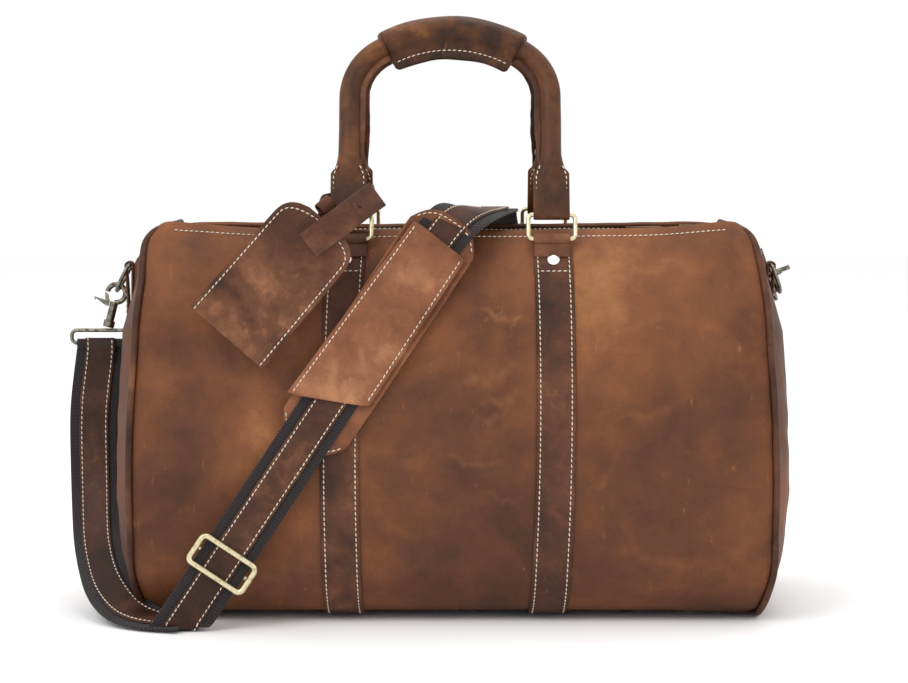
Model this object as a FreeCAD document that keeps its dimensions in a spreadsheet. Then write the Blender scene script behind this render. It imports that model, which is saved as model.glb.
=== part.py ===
import FreeCAD, Part
import Sketcher
import math
import os
from FreeCAD import Placement, Rotation, Vector

# Leather weekender duffel. +Z is up, the front faces -Y and +X is the bag's
# right as it is looked at. The origin is the middle of the centre foot's sole.
# Every size is in millimetres and every angle in degrees.

SIZES = {
    # body
    "half_width": 240, "top_half_width": 213, "low_half_width": 231, "side_low": 62, "side_high": 205,
    "low_round": 130, "side_round": 1500, "side_lean": 4, "shoulder_round": 480,
    "corner_half_width": 227, "corner_height": 280, "corner_round": 18,
    "half_depth": 115, "half_base": 78, "top_half_depth": 74, "base_height": 8, "top_height": 294,
    "base_round": 37, "shoulder_height": 200, "shoulder_half_depth": 110, "belly_round": 620,
    "crown_round": 120, "skin": 3, "end_swell": 8.2, "end_skin": 3, "piping": 3, "piping_width": 6,
    "air": 0.3,
    # lining, board, pocket and feet
    "lining": 1.2, "lining_height": 270, "lining_end_foot": 15, "lining_end_height": 248,
    "board_half": 215, "board_thick": 2, "pocket_width": 190, "pocket_high": 130, "pocket_thick": 2,
    "pocket_depth": 104, "pocket_middle": 120, "foot_radius": 8, "foot_reach": 185, "foot_depth": 55,
    "foot_gap": 0.1,
    # bands, rings and handles
    "band_width": 29, "band_thick": 2.4, "band_gap": 0.1, "band_spacing": 152, "bar_depth": 88,
    "bar_height": 286,
    "ring_width": 35, "ring_rise": 19.5, "ring_wire": 1.65, "ring_corner": 3.5, "loop_width": 27,
    "loop_leather": 2.2, "rivet_radius": 4.5, "rivet_dome": 1.8, "rivet_height": 272,
    "rivet_reach": 94.2, "rivet_slope": 30,
    "handle_half": 76, "handle_rise": 149, "handle_round": 45, "handle_leg": 95, "roll": 8,
    "tab_width": 27, "tab_length": 30, "tab_thick": 8, "wrap_half": 51, "wrap_outer": 12.4, "wrap_inner": 9,
    "lean": 22,
    # zip
    "flap_half": 170, "flap_hinge": 68, "flap_height": 287, "flap_thick": 2, "tape_width": 18,
    "tape_thick": 1, "tape_seam": 8, "tape_gap": 0.05, "zip_half": 207, "zip_end_thick": 1,
    "teeth_gap": 0.6, "teeth_width": 2, "teeth_high": 2.4, "teeth_low": 0.7,
    "slider_length": 13, "slider_width": 9, "slider_park": 183, "slider_plate": 1.6, "slider_sole": 1.4,
    "slider_drop": 8, "slider_post": 3, "slider_post_width": 0.8, "bridge_length": 9, "bridge_high": 4.4,
    "bridge_sink": 0.2, "bridge_width": 2.4, "bridge_eye_length": 5.8, "bridge_eye_high": 2.5,
    "pull_rise": 3.1, "pull_length": 20, "pull_width": 7.2, "pull_thick": 1.4, "pull_shift": -9,
    "pull_eye": 6, "pull_eye_width": 3.2, "pull_eye_shift": -3.8, "puller_length": 34, "puller_width": 12,
    "puller_thick": 2.4, "puller_shift": -36.2,
    # shoulder strap
    "webbing": 38, "webbing_thick": 3.4, "fold_wall": 2, "fold_lap": 0.5, "buckle_across": 46,
    "buckle_along": 22.5, "buckle_wire": 2.2, "buckle_corner": 4, "buckle_bar": 1.6,
    "buckle_bar_drop": 0.4, "buckle_ear": 2.6, "buckle_ear_width": 3.2,
    "pad_width": 52, "pad_length": 144, "pad_thick": 2.6, "pad_under_length": 200, "pad_start": 145,
    "pad_under_start": 100, "pad_corner": 3.25, "pad_under_corner": 20,
    # end tabs, D-rings and snap hooks
    "end_reach": 250, "end_height": 262, "end_tab_width": 11, "end_tab_leather": 2.2,
    "d_ring_width": 26, "d_ring_reach": 22, "d_ring_corner": 3, "d_ring_tilt_left": 27,
    "d_ring_tilt_right": 20, "claw_slack": 1.3,
    "d_ring_wire": 1.5, "claw_radius": 7, "claw_wire": 2, "shank_radius": 3.2,
    "shank_length": 15, "trigger_thick": 3.4, "bail_corner": 4,
    "collar_radius": 4.4, "collar_length": 5, "bail_width": 46, "bail_rise": 10, "bail_wire": 1.5,
    # luggage tag
    "tag_width": 70, "tag_side": 96, "tag_length": 114, "tag_leaf": 2, "tag_taper": 1.5,
    "tag_round": 22, "tag_lean": 40.8, "tag_strap": 21, "tag_strap_thick": 2, "tag_loop_length": 40,
    "tag_loop_depth": 28, "tag_loop_height": 18, "tag_loop_wall": 2,
}

doc = FreeCAD.newDocument("duffel_bag")
sheet = doc.addObject("Spreadsheet::Sheet", "Sizes")
for row, (alias, number) in enumerate(SIZES.items(), 1):
    sheet.set(f"A{row}", alias)
    sheet.set(f"B{row}", str(number))
    sheet.setAlias(f"B{row}", alias)
doc.recompute()

parts = []

# Cutting tools reach this far, well outside the bag, and one that cuts another reaches a little farther.
FAR = 300
FARTHER = 310


class Size:
    """A length or angle together with the sheet expression that gives it."""

    def __init__(self, number, text):
        self.number = number
        self.text = text

    def __add__(self, other):
        other = sized(other)
        return Size(self.number + other.number, f"({self.text} + {other.text})")

    def __sub__(self, other):
        other = sized(other)
        return Size(self.number - other.number, f"({self.text} - {other.text})")

    def __rsub__(self, other):
        return sized(other) - self

    def __mul__(self, other):
        other = sized(other)
        return Size(self.number * other.number, f"({self.text} * {other.text})")

    def __truediv__(self, other):
        other = sized(other)
        return Size(self.number / other.number, f"({self.text} / {other.text})")

    def __neg__(self):
        return Size(-self.number, f"(0 - {self.text})")

    __radd__ = __add__
    __rmul__ = __mul__


def sized(value):
    return value if isinstance(value, Size) else Size(value, repr(value))


def size(alias):
    return Size(float(sheet.get(alias)), f"Sizes.{alias}")


def mm(alias):
    return size(alias).number


def bind(thing, name, value):
    value = sized(value)
    setattr(thing, name, value.number)
    thing.setExpression(name, value.text)


def keep(thing, node, place=None):
    """Name a finished sub-part and put it in place."""
    thing.Label = node
    if place is not None:
        thing.Placement = place
    parts.append(thing)
    return thing


def at(x=0, y=0, z=0, axis=(0, 0, 1), angle=0):
    return Placement(Vector(x, y, z), Rotation(Vector(*axis), angle))


def arc_centre(start, end, radius):
    """Centre of the short arc that turns left when radius is positive, right when negative."""
    chord = end - start
    left = Vector(-chord.y, chord.x, 0).normalize()
    reach = math.sqrt(max(radius * radius - chord.Length ** 2 / 4, 0))
    return (start + end) / 2 + left * math.copysign(reach, radius)


def draw(sketch, outline, closed=True):
    """Draw lines and arcs through (across, up[, radius to the next point]) and lock each by its sizes."""
    corners = [[sized(value) for value in corner] for corner in outline]
    spots = [Vector(c[0].number, c[1].number, 0) for c in corners]
    count = len(corners) if closed else len(corners) - 1
    edges = []
    for index in range(count):
        start, end = spots[index], spots[(index + 1) % len(spots)]
        radius = corners[index][2].number if len(corners[index]) > 2 else 0
        if radius == 0:
            edges.append((sketch.addGeometry(Part.LineSegment(start, end), False), 1, 2))
            continue
        centre = arc_centre(start, end, radius)
        first, last = (start, end) if radius > 0 else (end, start)
        angles = [math.atan2(spot.y - centre.y, spot.x - centre.x) for spot in (first, last)]
        if angles[1] < angles[0]:
            angles[1] += 2 * math.pi
        arc = Part.ArcOfCircle(Part.Circle(centre, Vector(0, 0, 1), abs(radius)), angles[0], angles[1])
        ends = (1, 2) if radius > 0 else (2, 1)
        edges.append((sketch.addGeometry(arc, False), ends[0], ends[1]))
        lock = sketch.addConstraint(Sketcher.Constraint("Radius", edges[-1][0], abs(radius)))
        wanted = corners[index][2] if radius > 0 else -corners[index][2]
        sketch.setExpression(f"Constraints[{lock}]", wanted.text)
    for index in range(count if closed else count - 1):
        edge, after = edges[index], edges[(index + 1) % count]
        sketch.addConstraint(Sketcher.Constraint("Coincident", edge[0], edge[2], after[0], after[1]))
    for index, corner in enumerate(corners):
        edge = edges[index] if index < count else (edges[-1][0], edges[-1][2])
        for kind, value in (("DistanceX", corner[0]), ("DistanceY", corner[1])):
            lock = sketch.addConstraint(Sketcher.Constraint(kind, -1, 1, edge[0], edge[1], value.number))
            sketch.setExpression(f"Constraints[{lock}]", value.text)
    return sketch


PLANES = {
    "XY": Rotation(),
    "XZ": Rotation(Vector(1, 0, 0), 90),
    "YZ": Rotation(Vector(1, 1, 1), 120),
}
NORMALS = {"XY": Vector(0, 0, 1), "XZ": Vector(0, -1, 0), "YZ": Vector(1, 0, 0)}


def slab(name, plane, outline, half):
    """An outline on one of the frame's planes, grown by half to both sides."""
    sketch = doc.addObject("Sketcher::SketchObject", name + "_outline")
    sketch.Placement = Placement(Vector(), PLANES[plane])
    draw(sketch, outline)
    solid = doc.addObject("Part::Extrusion", name + "_slab")
    solid.Base = sketch
    solid.DirMode = "Custom"
    solid.Dir = NORMALS[plane]
    solid.Solid = True
    bind(solid, "LengthFwd", half)
    bind(solid, "LengthRev", half)
    return solid


def join(kind, name, base, tool):
    thing = doc.addObject(f"Part::{kind}", name)
    thing.Base = base
    thing.Tool = tool
    return thing


def fuse(name, *shapes):
    thing = doc.addObject("Part::MultiFuse", name)
    thing.Shapes = list(shapes)
    return thing


def body_with(node):
    return doc.addObject("PartDesign::Body", node)


def sketch_in(body, name, plane, outline, closed=True):
    sketch = body.newObject("Sketcher::SketchObject", name)
    face = [part for part in body.Origin.OriginFeatures if part.Role == f"{plane}_Plane"][0]
    sketch.AttachmentSupport = [(face, "")]
    sketch.MapMode = "FlatFace"
    return draw(sketch, outline, closed)


def pad(body, name, plane, outline, length, middle=True):
    feature = body.newObject("PartDesign::Pad", name)
    feature.Profile = sketch_in(body, name + "_sketch", plane, outline)
    bind(feature, "Length", length)
    feature.Midplane = middle
    return feature


def box_outline(half_across, half_up, across=0, up=0):
    across, up = sized(across), sized(up)
    half_across, half_up = sized(half_across), sized(half_up)
    return [(across - half_across, up - half_up), (across + half_across, up - half_up),
            (across + half_across, up + half_up), (across - half_across, up + half_up)]


def block(name, along_x, along_y, along_z, place):
    thing = doc.addObject("Part::Box", name)
    bind(thing, "Length", along_x)
    bind(thing, "Width", along_y)
    bind(thing, "Height", along_z)
    thing.Placement = place
    return thing


def rod(name, radius, length, place):
    thing = doc.addObject("Part::Cylinder", name)
    bind(thing, "Radius", radius)
    bind(thing, "Height", length)
    thing.Placement = place
    return thing


def bent_wire(node, spine, radius, closed=True):
    """Round wire that starts upwards through the XY plane at the spine's first point."""
    body = body_with(node)
    path = sketch_in(body, node + "_spine", "XZ", spine, closed)
    section = body.newObject("Sketcher::SketchObject", node + "_section")
    face = [part for part in body.Origin.OriginFeatures if part.Role == "XY_Plane"][0]
    section.AttachmentSupport = [(face, "")]
    section.MapMode = "FlatFace"
    start = sized(spine[0][0])
    radius = sized(radius)
    section.addGeometry(Part.Circle(Vector(start.number, 0, 0), Vector(0, 0, 1), radius.number), False)
    lock = section.addConstraint(Sketcher.Constraint("Radius", 0, radius.number))
    section.setExpression(f"Constraints[{lock}]", radius.text)
    lock = section.addConstraint(Sketcher.Constraint("DistanceX", -1, 1, 0, 3, start.number))
    section.setExpression(f"Constraints[{lock}]", start.text)
    section.addConstraint(Sketcher.Constraint("PointOnObject", 0, 3, -1))
    pipe = body.newObject("PartDesign::AdditivePipe", node + "_pipe")
    pipe.Profile = section
    pipe.Spine = (path, [f"Edge{number + 1}" for number in range(path.GeometryCount)])
    return body


def rounded_loop(across, up, corner):
    """A rounded rectangle that starts half way up its left side."""
    wide, high, bend = sized(across) / 2, sized(up) / 2, sized(corner)
    return [(-wide, 0), (-wide, high - bend, -bend), (bend - wide, high), (wide - bend, high, -bend),
            (wide, high - bend), (wide, bend - high, -bend), (wide - bend, -high),
            (bend - wide, -high, -bend), (-wide, bend - high)]


# ---- the bag's outlines --------------------------------------------------------------------------

def front_outline(grow=0):
    """The bag seen from the front, grown sideways by grow."""
    low, mid, top = size("low_half_width") + grow, size("half_width") + grow, size("top_half_width") + grow
    base, high = size("base_height"), size("top_height")
    side_low, side_high = size("side_low"), size("side_high")
    shoulder = mid - size("side_lean")
    corner, corner_high = size("corner_half_width") + grow, size("corner_height")
    return [(-low, base), (low, base, size("low_round")), (mid, side_low, size("side_round")),
            (shoulder, side_high, size("shoulder_round")), (corner, corner_high, size("corner_round")),
            (top, high), (-top, high, size("corner_round")), (-corner, corner_high, size("shoulder_round")),
            (-shoulder, side_high, size("side_round")), (-mid, side_low, size("low_round"))]


def wall_line(inset, side):
    """One wall seen from the end, from the base up to the top edge, moved in by inset."""
    inset = sized(inset)
    base = size("base_height") + inset
    deep = size("half_depth") - inset
    return [(side * size("half_base"), base, side * (size("base_round") - inset)),
            (side * deep, size("base_height") + size("base_round"), side * (size("belly_round") - inset)),
            (side * (size("shoulder_half_depth") - inset), size("shoulder_height"),
             side * (size("crown_round") - inset)),
            (side * (size("top_half_depth") - inset * 0.6), size("top_height") - inset * 0.4)]


def backwards(line):
    """The same line followed from its other end."""
    turned = []
    for index in range(len(line) - 1, -1, -1):
        corner = list(line[index][:2])
        if index > 0 and len(line[index - 1]) > 2:
            corner.append(-line[index - 1][2])
        turned.append(tuple(corner))
    return turned


def wall_outline(outer, inner, side):
    return wall_line(outer, side) + backwards(wall_line(inner, side))


def arch_outline(inset):
    """The whole bag seen from the end, moved in by inset."""
    return wall_line(inset, 1) + backwards(wall_line(inset, -1))


# ---- shell ---------------------------------------------------------------------------------------

def build_walls():
    for node, side in (("front_panel", -1), ("back_panel", 1)):
        wall = slab(node, "YZ", wall_outline(0, size("skin"), side), FAR)
        trim = slab(node + "_trim", "XZ", front_outline(), FAR)
        keep(join("Common", node, wall, trim), node)
    base = size("base_height")
    floor = pad(body_with("bottom_panel"), "bottom_leather", "YZ",
                box_outline(size("half_base"), size("skin") / 2, 0, base + size("skin") / 2),
                size("low_half_width") * 2)
    keep(floor.getParent(), "bottom_panel")


def build_ends():
    """Each end is a swelled sheet inside the arch of the walls, with a piped seam round it."""
    for hand, way in (("left", -1), ("right", 1)):
        outer, inner = size("end_swell"), size("end_swell") - size("end_skin")
        arch = slab(f"end_{hand}_arch", "YZ", arch_outline(size("skin") + size("piping")), FAR)
        end_piece(f"end_panel_{hand}", outer, inner, arch, way)
        around = slab(f"seam_{hand}_arch", "YZ", arch_outline(0), FAR)
        hole = slab(f"seam_{hand}_hole", "YZ", arch_outline(size("piping")), FARTHER)
        rim = join("Cut", f"seam_{hand}_rim", around, hole)
        end_piece(f"piping_{hand}", size("piping_width"), size("air"), rim, way)


def end_piece(node, outer, inner, shape, way):
    """The part of a shape between two grown outlines, at one end of the bag."""
    grown = slab(node + "_outer", "XZ", front_outline(outer), FAR)
    hollow = slab(node + "_inner", "XZ", front_outline(inner), FARTHER)
    layer = join("Common", node + "_layer", join("Cut", node + "_sheet", grown, hollow), shape)
    middle = mm("top_half_width") / 2
    start = middle if way > 0 else -middle - FAR
    half = block(node + "_half", FAR, 2 * FAR, 2 * FAR, at(start, -FAR, -FAR))
    keep(join("Common", node, layer, half), node)


def build_inside():
    """Fabric lining hung just inside the leather, a stiff board under it and a slip pocket."""
    gap = size("skin") + size("air")
    thick = gap + size("lining")
    tube = join("Cut", "lining_tube",
                slab("lining", "YZ", arch_outline(gap), size("low_half_width") - size("skin")),
                slab("lining_hollow", "YZ", arch_outline(thick), FAR))
    below = block("lining_below", 2 * FAR, 2 * FAR, size("lining_height"), at(-FAR, -FAR, 0))
    cut_top = join("Common", "lining_open", tube, below)
    trim = slab("lining_trim", "XZ", front_outline(-size("lining") - size("air")), FAR)
    keep(join("Common", "lining_wrap", cut_top, trim), "lining_wrap")
    outer = slab("lining_end_outer", "XZ", front_outline(size("air")), FAR)
    inner = slab("lining_end_inner", "XZ", front_outline(size("air") - size("lining")), FARTHER)
    sheets = join("Cut", "lining_end_sheets", outer, inner)
    arch = slab("lining_end_arch", "YZ", arch_outline(thick + 1), FAR)
    both = join("Common", "lining_end_trimmed", sheets, arch)
    foot, tall = mm("lining_end_foot"), size("lining_end_height")
    kept = join("Common", "lining_end_kept", both,
                block("lining_end_tall", 2 * FAR, 2 * FAR, tall, at(-FAR, -FAR, foot)))
    wide = mm("top_half_width")
    middle = block("lining_end_middle", 2 * wide, 2 * FAR, 2 * FAR, at(-wide, -FAR, -FAR))
    keep(join("Cut", "lining_ends", kept, middle), "lining_ends")
    lift = size("base_height") + thick + size("air")
    board = pad(body_with("base_board"), "board", "XY",
                box_outline(size("board_half"), size("half_base") - size("board_thick")),
                size("board_thick"), False)
    keep(board.getParent(), "base_board", at(z=lift.number))
    pocket = pad(body_with("inner_pocket"), "pocket", "XZ",
                 box_outline(size("pocket_width") / 2, size("pocket_high") / 2), size("pocket_thick"))
    keep(pocket.getParent(), "inner_pocket", at(0, mm("pocket_depth"), mm("pocket_middle")))


def build_feet():
    """Domed metal feet riveted through the base."""
    def foot(name, x, y):
        return rod(name, size("foot_radius"), size("base_height") - size("foot_gap"), at(x, y, 0))
    reach, deep = mm("foot_reach"), mm("foot_depth")
    keep(foot("centre_foot", 0, 0), "centre_foot")
    places = ((-reach, -deep), (reach, -deep), (-reach, deep), (reach, deep))
    corners = [foot(f"corner_foot_{number}", x, y) for number, (x, y) in enumerate(places)]
    keep(fuse("corner_feet", *corners), "corner_feet")


# ---- bands and rings -----------------------------------------------------------------------------

def build_bands():
    """Four vertical leather bands, each folded at its top round a ring's lower bar and riveted."""
    bore = size("ring_wire") + size("air")
    for face, side in (("front", -1), ("back", 1)):
        for hand, across in (("left", -0.5), ("right", 0.5)):
            node = f"band_{face}_{hand}"
            x = (size("band_spacing") * across).number
            face_line = -size("band_gap")
            outline = wall_outline(face_line - size("band_thick"), face_line, side)
            strip = slab(node, "YZ", outline, size("band_width") / 2)
            strip.Placement = at(x)
            below = block(node + "_below", 2 * FAR, 2 * FAR, size("bar_height"), at(-FAR, -FAR, 0))
            strip = join("Common", node + "_strip", strip, below)
            start = x - mm("loop_width") / 2
            y, z = side * mm("bar_depth"), mm("bar_height")
            turn = at(start, y, z, (0, 1, 0), 90)
            loop = rod(node + "_loop", bore + size("loop_leather"), size("loop_width"), turn)
            whole = fuse(node + "_whole", strip, loop)
            hole = rod(node + "_bore", bore, size("loop_width"), turn)
            keep(join("Cut", node, whole, hole), node)


def build_rivets():
    """Domed rivets, one through each band under its ring, square to the leaning leather."""
    slope = math.radians(mm("rivet_slope"))
    for face, side in (("front", -1), ("back", 1)):
        domes = []
        for hand, across in (("left", -0.5), ("right", 0.5)):
            x = (size("band_spacing") * across).number
            outward = Vector(0, side * math.cos(slope), math.sin(slope))
            spot = Vector(x, side * mm("rivet_reach"), mm("rivet_height"))
            dome = rod(f"rivet_{face}_{hand}", size("rivet_radius"), size("rivet_dome"),
                       Placement(spot, Rotation(Vector(0, 0, 1), outward)))
            domes.append(dome)
        keep(fuse(f"rivets_{face}", *domes), f"rivets_{face}")


def bar_axis(side):
    """Where a ring's lower bar and its upper bar lie: (y, z) of each."""
    low = (side * mm("bar_depth"), mm("bar_height"))
    lean = math.radians(mm("lean"))
    rise = mm("ring_rise")
    return low, (low[0] - side * rise * math.sin(lean), low[1] + rise * math.cos(lean))


def build_rings():
    for face, side in (("front", -1), ("back", 1)):
        low, high = bar_axis(side)
        middle = ((low[0] + high[0]) / 2, (low[1] + high[1]) / 2)
        for hand, across in (("left", -0.5), ("right", 0.5)):
            node = f"ring_{face}_{hand}"
            loop = rounded_loop(size("ring_width"), size("ring_rise"), size("ring_corner"))
            x = (size("band_spacing") * across).number
            keep(bent_wire(node, loop, size("ring_wire")), node,
                 at(x, middle[0], middle[1], (1, 0, 0), side * mm("lean")))


# ---- handles -------------------------------------------------------------------------------------

def handle_spine():
    """The arch from above the left tab to above the right one: legs, two bends and a flat top arc."""
    half, bend, leg, rise = mm("handle_half"), mm("handle_round"), mm("handle_leg"), mm("handle_rise")
    offset = half - bend
    top = ((offset ** 2 + (rise - leg) ** 2 - bend ** 2) / (2 * (rise - leg - bend)))
    angle = math.asin(offset / (top - bend))
    across = top * math.sin(angle)
    up = rise - top + top * math.cos(angle)
    start = size("tab_length")
    half, leg, bend = size("handle_half"), size("handle_leg") - start, size("handle_round")
    return [(-half, 0), (-half, leg, -bend), (-across, up - start, -top), (across, up - start, -bend),
            (half, leg), (half, 0)], top


def build_handles():
    """Two rolled handles, each with stitched tabs round the rings' upper bars."""
    spine, top = handle_spine()
    lean = mm("lean")
    bore = size("ring_wire") + size("air")
    for face, side in (("front", -1), ("back", 1)):
        low, high = bar_axis(side)
        tilt = Rotation(Vector(1, 0, 0), side * lean)
        foot = Vector(0, high[0], high[1])
        raised = foot + tilt.multVec(Vector(0, 0, mm("tab_length")))
        node = f"handle_{face}"
        keep(bent_wire(node, spine, size("roll"), False), node, Placement(raised, tilt))
        tabs = []
        for hand, way in (("left", -1), ("right", 1)):
            x = way * mm("handle_half")
            name = f"handle_{face}_tab_{hand}"
            start = x - mm("tab_width") / 2
            plate = block(name, size("tab_width"), size("tab_thick"), size("tab_length"),
                          at(start, -mm("tab_thick") / 2, 0))
            turn = at(start, 0, 0, (0, 1, 0), 90)
            loop = rod(name + "_loop", bore + size("loop_leather"), size("tab_width"), turn)
            whole = fuse(name + "_whole", plate, loop)
            hole = rod(name + "_bore", bore, size("tab_width"), turn)
            tabs.append(join("Cut", name + "_bored", whole, hole))
        keep(fuse(f"handle_{face}_tabs", *tabs), f"handle_{face}_tabs", Placement(foot, tilt))
        if face == "front":
            build_wrap(Placement(raised, tilt), top)


def build_wrap(place, top):
    """The padded grip: a sleeve round the handle's flat top arc."""
    half = mm("wrap_half")
    drop = mm("handle_rise") - mm("tab_length")
    angle = math.degrees(math.asin(half / top))
    sleeves = []
    for name, radius in (("wrap_outer", size("wrap_outer")), ("wrap_inner", size("wrap_inner"))):
        torus = doc.addObject("Part::Torus", name)
        bind(torus, "Radius1", top)
        bind(torus, "Radius2", radius)
        bind(torus, "Angle3", 2 * angle)
        torus.Placement = at(0, 0, drop - top, (1, 0, 0), 90).multiply(at(axis=(0, 0, 1), angle=90 - angle))
        sleeves.append(torus)
    keep(join("Cut", "handle_wrap", *sleeves), "handle_wrap", place)


# ---- zip -----------------------------------------------------------------------------------------

def build_zip():
    """Two leather gussets that meet along the zip, with fixed ends where the slider parks."""
    height = size("flap_height")
    for face, side in (("front", -1), ("back", 1)):
        hinge, edge = size("flap_hinge") * side, size("tape_width") / 2 * side
        middle, half = (hinge + edge) / 2, (size("flap_hinge") - size("tape_width") / 2) / 2
        leather = pad(body_with(f"zip_flap_{face}"), f"flap_{face}", "YZ",
                      box_outline(half, size("flap_thick") / 2, middle, height), size("flap_half") * 2)
        keep(leather.getParent(), f"zip_flap_{face}")
        teeth_low = size("teeth_gap")
        tape = body_with(f"zip_tape_{face}")
        inner = side * (teeth_low + size("teeth_width"))
        outer = side * (size("tape_width") / 2 + size("tape_seam"))
        low = height - size("flap_thick") / 2 - size("tape_thick") - size("tape_gap")
        bottom = low - size("teeth_low")
        outline = [(outer, low), (outer, low + size("tape_thick")), (inner, low + size("tape_thick")),
                   (inner, low + size("teeth_high")), (side * teeth_low, low + size("teeth_high")),
                   (side * teeth_low, bottom), (inner, bottom), (inner, low)]
        pad(tape, f"tape_{face}", "YZ", outline, size("flap_half") * 2)
        keep(tape, f"zip_tape_{face}")
    for hand, way in (("left", -1), ("right", 1)):
        near, far = size("flap_half") + size("teeth_gap"), size("zip_half")
        slot_end = size("slider_park") + size("slider_post")
        wide = size("flap_hinge")
        slot = size("teeth_gap") + size("air")
        outline = [(near, slot), (slot_end, slot), (slot_end, -slot), (near, -slot),
                   (near, -wide), (far, -wide), (far, wide), (near, wide)]
        thick = size("zip_end_thick")
        plate = pad(body_with(f"zip_end_{hand}"), f"end_{hand}", "XY", outline, thick, False)
        turn = at(z=mm("flap_height") - mm("zip_end_thick"), angle=180 if way < 0 else 0)
        keep(plate.getParent(), f"zip_end_{hand}", turn)


def middle_box(long, high, up, across=0):
    """A box outline given by its whole length and height about its middle."""
    return box_outline(size(long) / 2, size(high) / 2, across, up)


def build_slider():
    """A zip slider with plates over and under the teeth, its swinging pull and a leather puller."""
    park = mm("slider_park")
    top = size("flap_height") + size("flap_thick") / 2 + size("air")
    under = size("flap_height") - size("slider_drop")
    plate, width = size("slider_plate"), size("slider_width")
    body = body_with("zip_slider")
    pad(body, "saddle", "XZ", middle_box("slider_length", "slider_plate", top + plate / 2), width)
    pad(body, "post", "XZ", box_outline(size("slider_post") / 2, (top - under) / 2, 0, (top + under) / 2),
        size("slider_post_width"))
    pad(body, "sole", "XZ", middle_box("slider_length", "slider_sole", under), width)
    hinge = top + size("pull_rise")
    bridge_up = top + plate - size("bridge_sink") + size("bridge_high") / 2
    pad(body, "bridge", "XZ", middle_box("bridge_length", "bridge_high", bridge_up),
        size("bridge_width"))
    hole = body.newObject("PartDesign::Pocket", "bridge_eye")
    hole.Profile = sketch_in(body, "bridge_eye_sketch", "XZ",
                             middle_box("bridge_eye_length", "bridge_eye_high", hinge))
    hole.Type = "ThroughAll"
    hole.Midplane = True
    keep(body, "zip_slider", at(park, 0, 0))
    pull = body_with("zip_pull")
    plate = middle_box("pull_length", "pull_width", 0, size("pull_shift"))
    pad(pull, "plate", "XY", plate, size("pull_thick"))
    eye = pull.newObject("PartDesign::Pocket", "pull_eye")
    eye.Profile = sketch_in(pull, "pull_eye_sketch", "XY",
                            middle_box("pull_eye", "pull_eye_width", 0, size("pull_eye_shift")))
    eye.Type = "ThroughAll"
    eye.Midplane = True
    keep(pull, "zip_pull", at(park, 0, hinge.number))
    puller = pad(body_with("zip_puller"), "puller", "XY",
                 middle_box("puller_length", "puller_width", 0, size("puller_shift")), size("puller_thick"))
    keep(puller.getParent(), "zip_puller", at(park, 0, hinge.number))


# ---- shoulder strap ------------------------------------------------------------------------------

# The strap lies straight up the front from the buckle's middle to the pad's top: this line carries both.
LINE_START = Vector(-167, -137, 50)
LINE_END = Vector(-9.6, -114, 285.6)
ALONG = (LINE_END - LINE_START).normalize()
ACROSS = ALONG.cross(Vector(0, -1, 0)).normalize()
OUTWARD = ACROSS.cross(ALONG)


def on_line(distance):
    return LINE_START + ALONG * distance


def turned(degrees):
    """The strap's width direction where it has turned in the bag's front plane."""
    angle = math.radians(degrees)
    return Vector(math.cos(angle), 0, math.sin(angle))


def strap_stops():
    """The strap's lie from the left hook to the right one, as middles with the directions of its width:
    down the left end, along the floor, up the front, over the top and round the back."""
    left, right = bail_place("left"), bail_place("right")
    fold = mm("bail_wire") + mm("air") + mm("fold_wall") - mm("fold_lap")
    drop = mm("bail_rise") / 2 + fold
    first = left.multVec(Vector(0, 0, -drop))
    last = right.multVec(Vector(0, 0, -drop))
    rear = last + Vector(0, 14, -3)
    wide = right.Rotation.multVec(Vector(-1, 0, 0))
    return [
        (first, turned(0)), (Vector(-279, -3, 150), turned(1)), (Vector(-277.5, -10, 98), turned(6)),
        (Vector(-273, -44, 52), turned(18)), (Vector(-268, -84, 31), turned(36)),
        (Vector(-255, -121, 21), turned(58)), (Vector(-229, -137, 20.6), turned(88)),
        (Vector(-206, -139.5, 22.5), turned(122)), (on_line(-26), -ACROSS), (on_line(302), -ACROSS),
        (Vector(12, -96, 306.5), Vector(-0.8, 0.3, 0.4)), (Vector(25, -68, 307), Vector(-0.85, 0.45, 0.1)),
        (Vector(33, -25, 306), Vector(-0.97, 0.2, 0)), (Vector(35, 25, 306), Vector(-1, 0, 0)),
        (Vector(34, 75, 304), Vector(-1, 0, 0)), (Vector(37, 104, 288), Vector(-1, 0.05, 0)),
        (Vector(48, 128, 252), Vector(-0.97, 0.1, 0.2)), (Vector(72, 138, 210), Vector(-0.85, 0, 0.5)),
        (Vector(115, 142, 180), Vector(-0.5, 0, 0.85)), (Vector(165, 142, 172), Vector(-0.1, 0, 1)),
        (Vector(212, 137, 182), Vector(0.2, 0, 1)), (Vector(246, 122, 207), Vector(0.4, -0.1, 1)),
        (Vector(262, 92, 234), Vector(0.3, 0, 1)), (rear, wide), (last, wide),
    ]


# Where the strap is divided into nodes: the first and the last of the stops of each.
SPANS = {"strap_left": (0, 2), "strap_floor": (2, 8), "strap_front": (8, 9), "strap_top": (9, 15),
         "strap_back": (15, 24)}


def strap_sections(half, thick):
    """The strap's rectangle at each stop, square to its run."""
    stops = strap_stops()
    sections = []
    for index, (middle, across) in enumerate(stops):
        before = stops[max(index - 1, 0)][0]
        after = stops[min(index + 1, len(stops) - 1)][0]
        if index == SPANS["strap_front"][0]:
            before = middle
        if index == SPANS["strap_front"][1]:
            after = middle
        sections.append(section(middle, after - before, across, half, thick))
    return stops, sections


def section(middle, run, across, half, thick):
    run = run.normalize()
    wide = (across - run * across.dot(run)).normalize()
    out = wide.cross(run).normalize() * (thick / 2)
    wide = wide * half
    ring = [middle - wide - out, middle + wide - out, middle + wide + out, middle - wide + out]
    return Part.makePolygon(ring + ring[:1])


def feature(name, shape):
    thing = doc.addObject("Part::Feature", name)
    thing.Shape = shape
    thing.Placement = Placement()
    return thing


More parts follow.
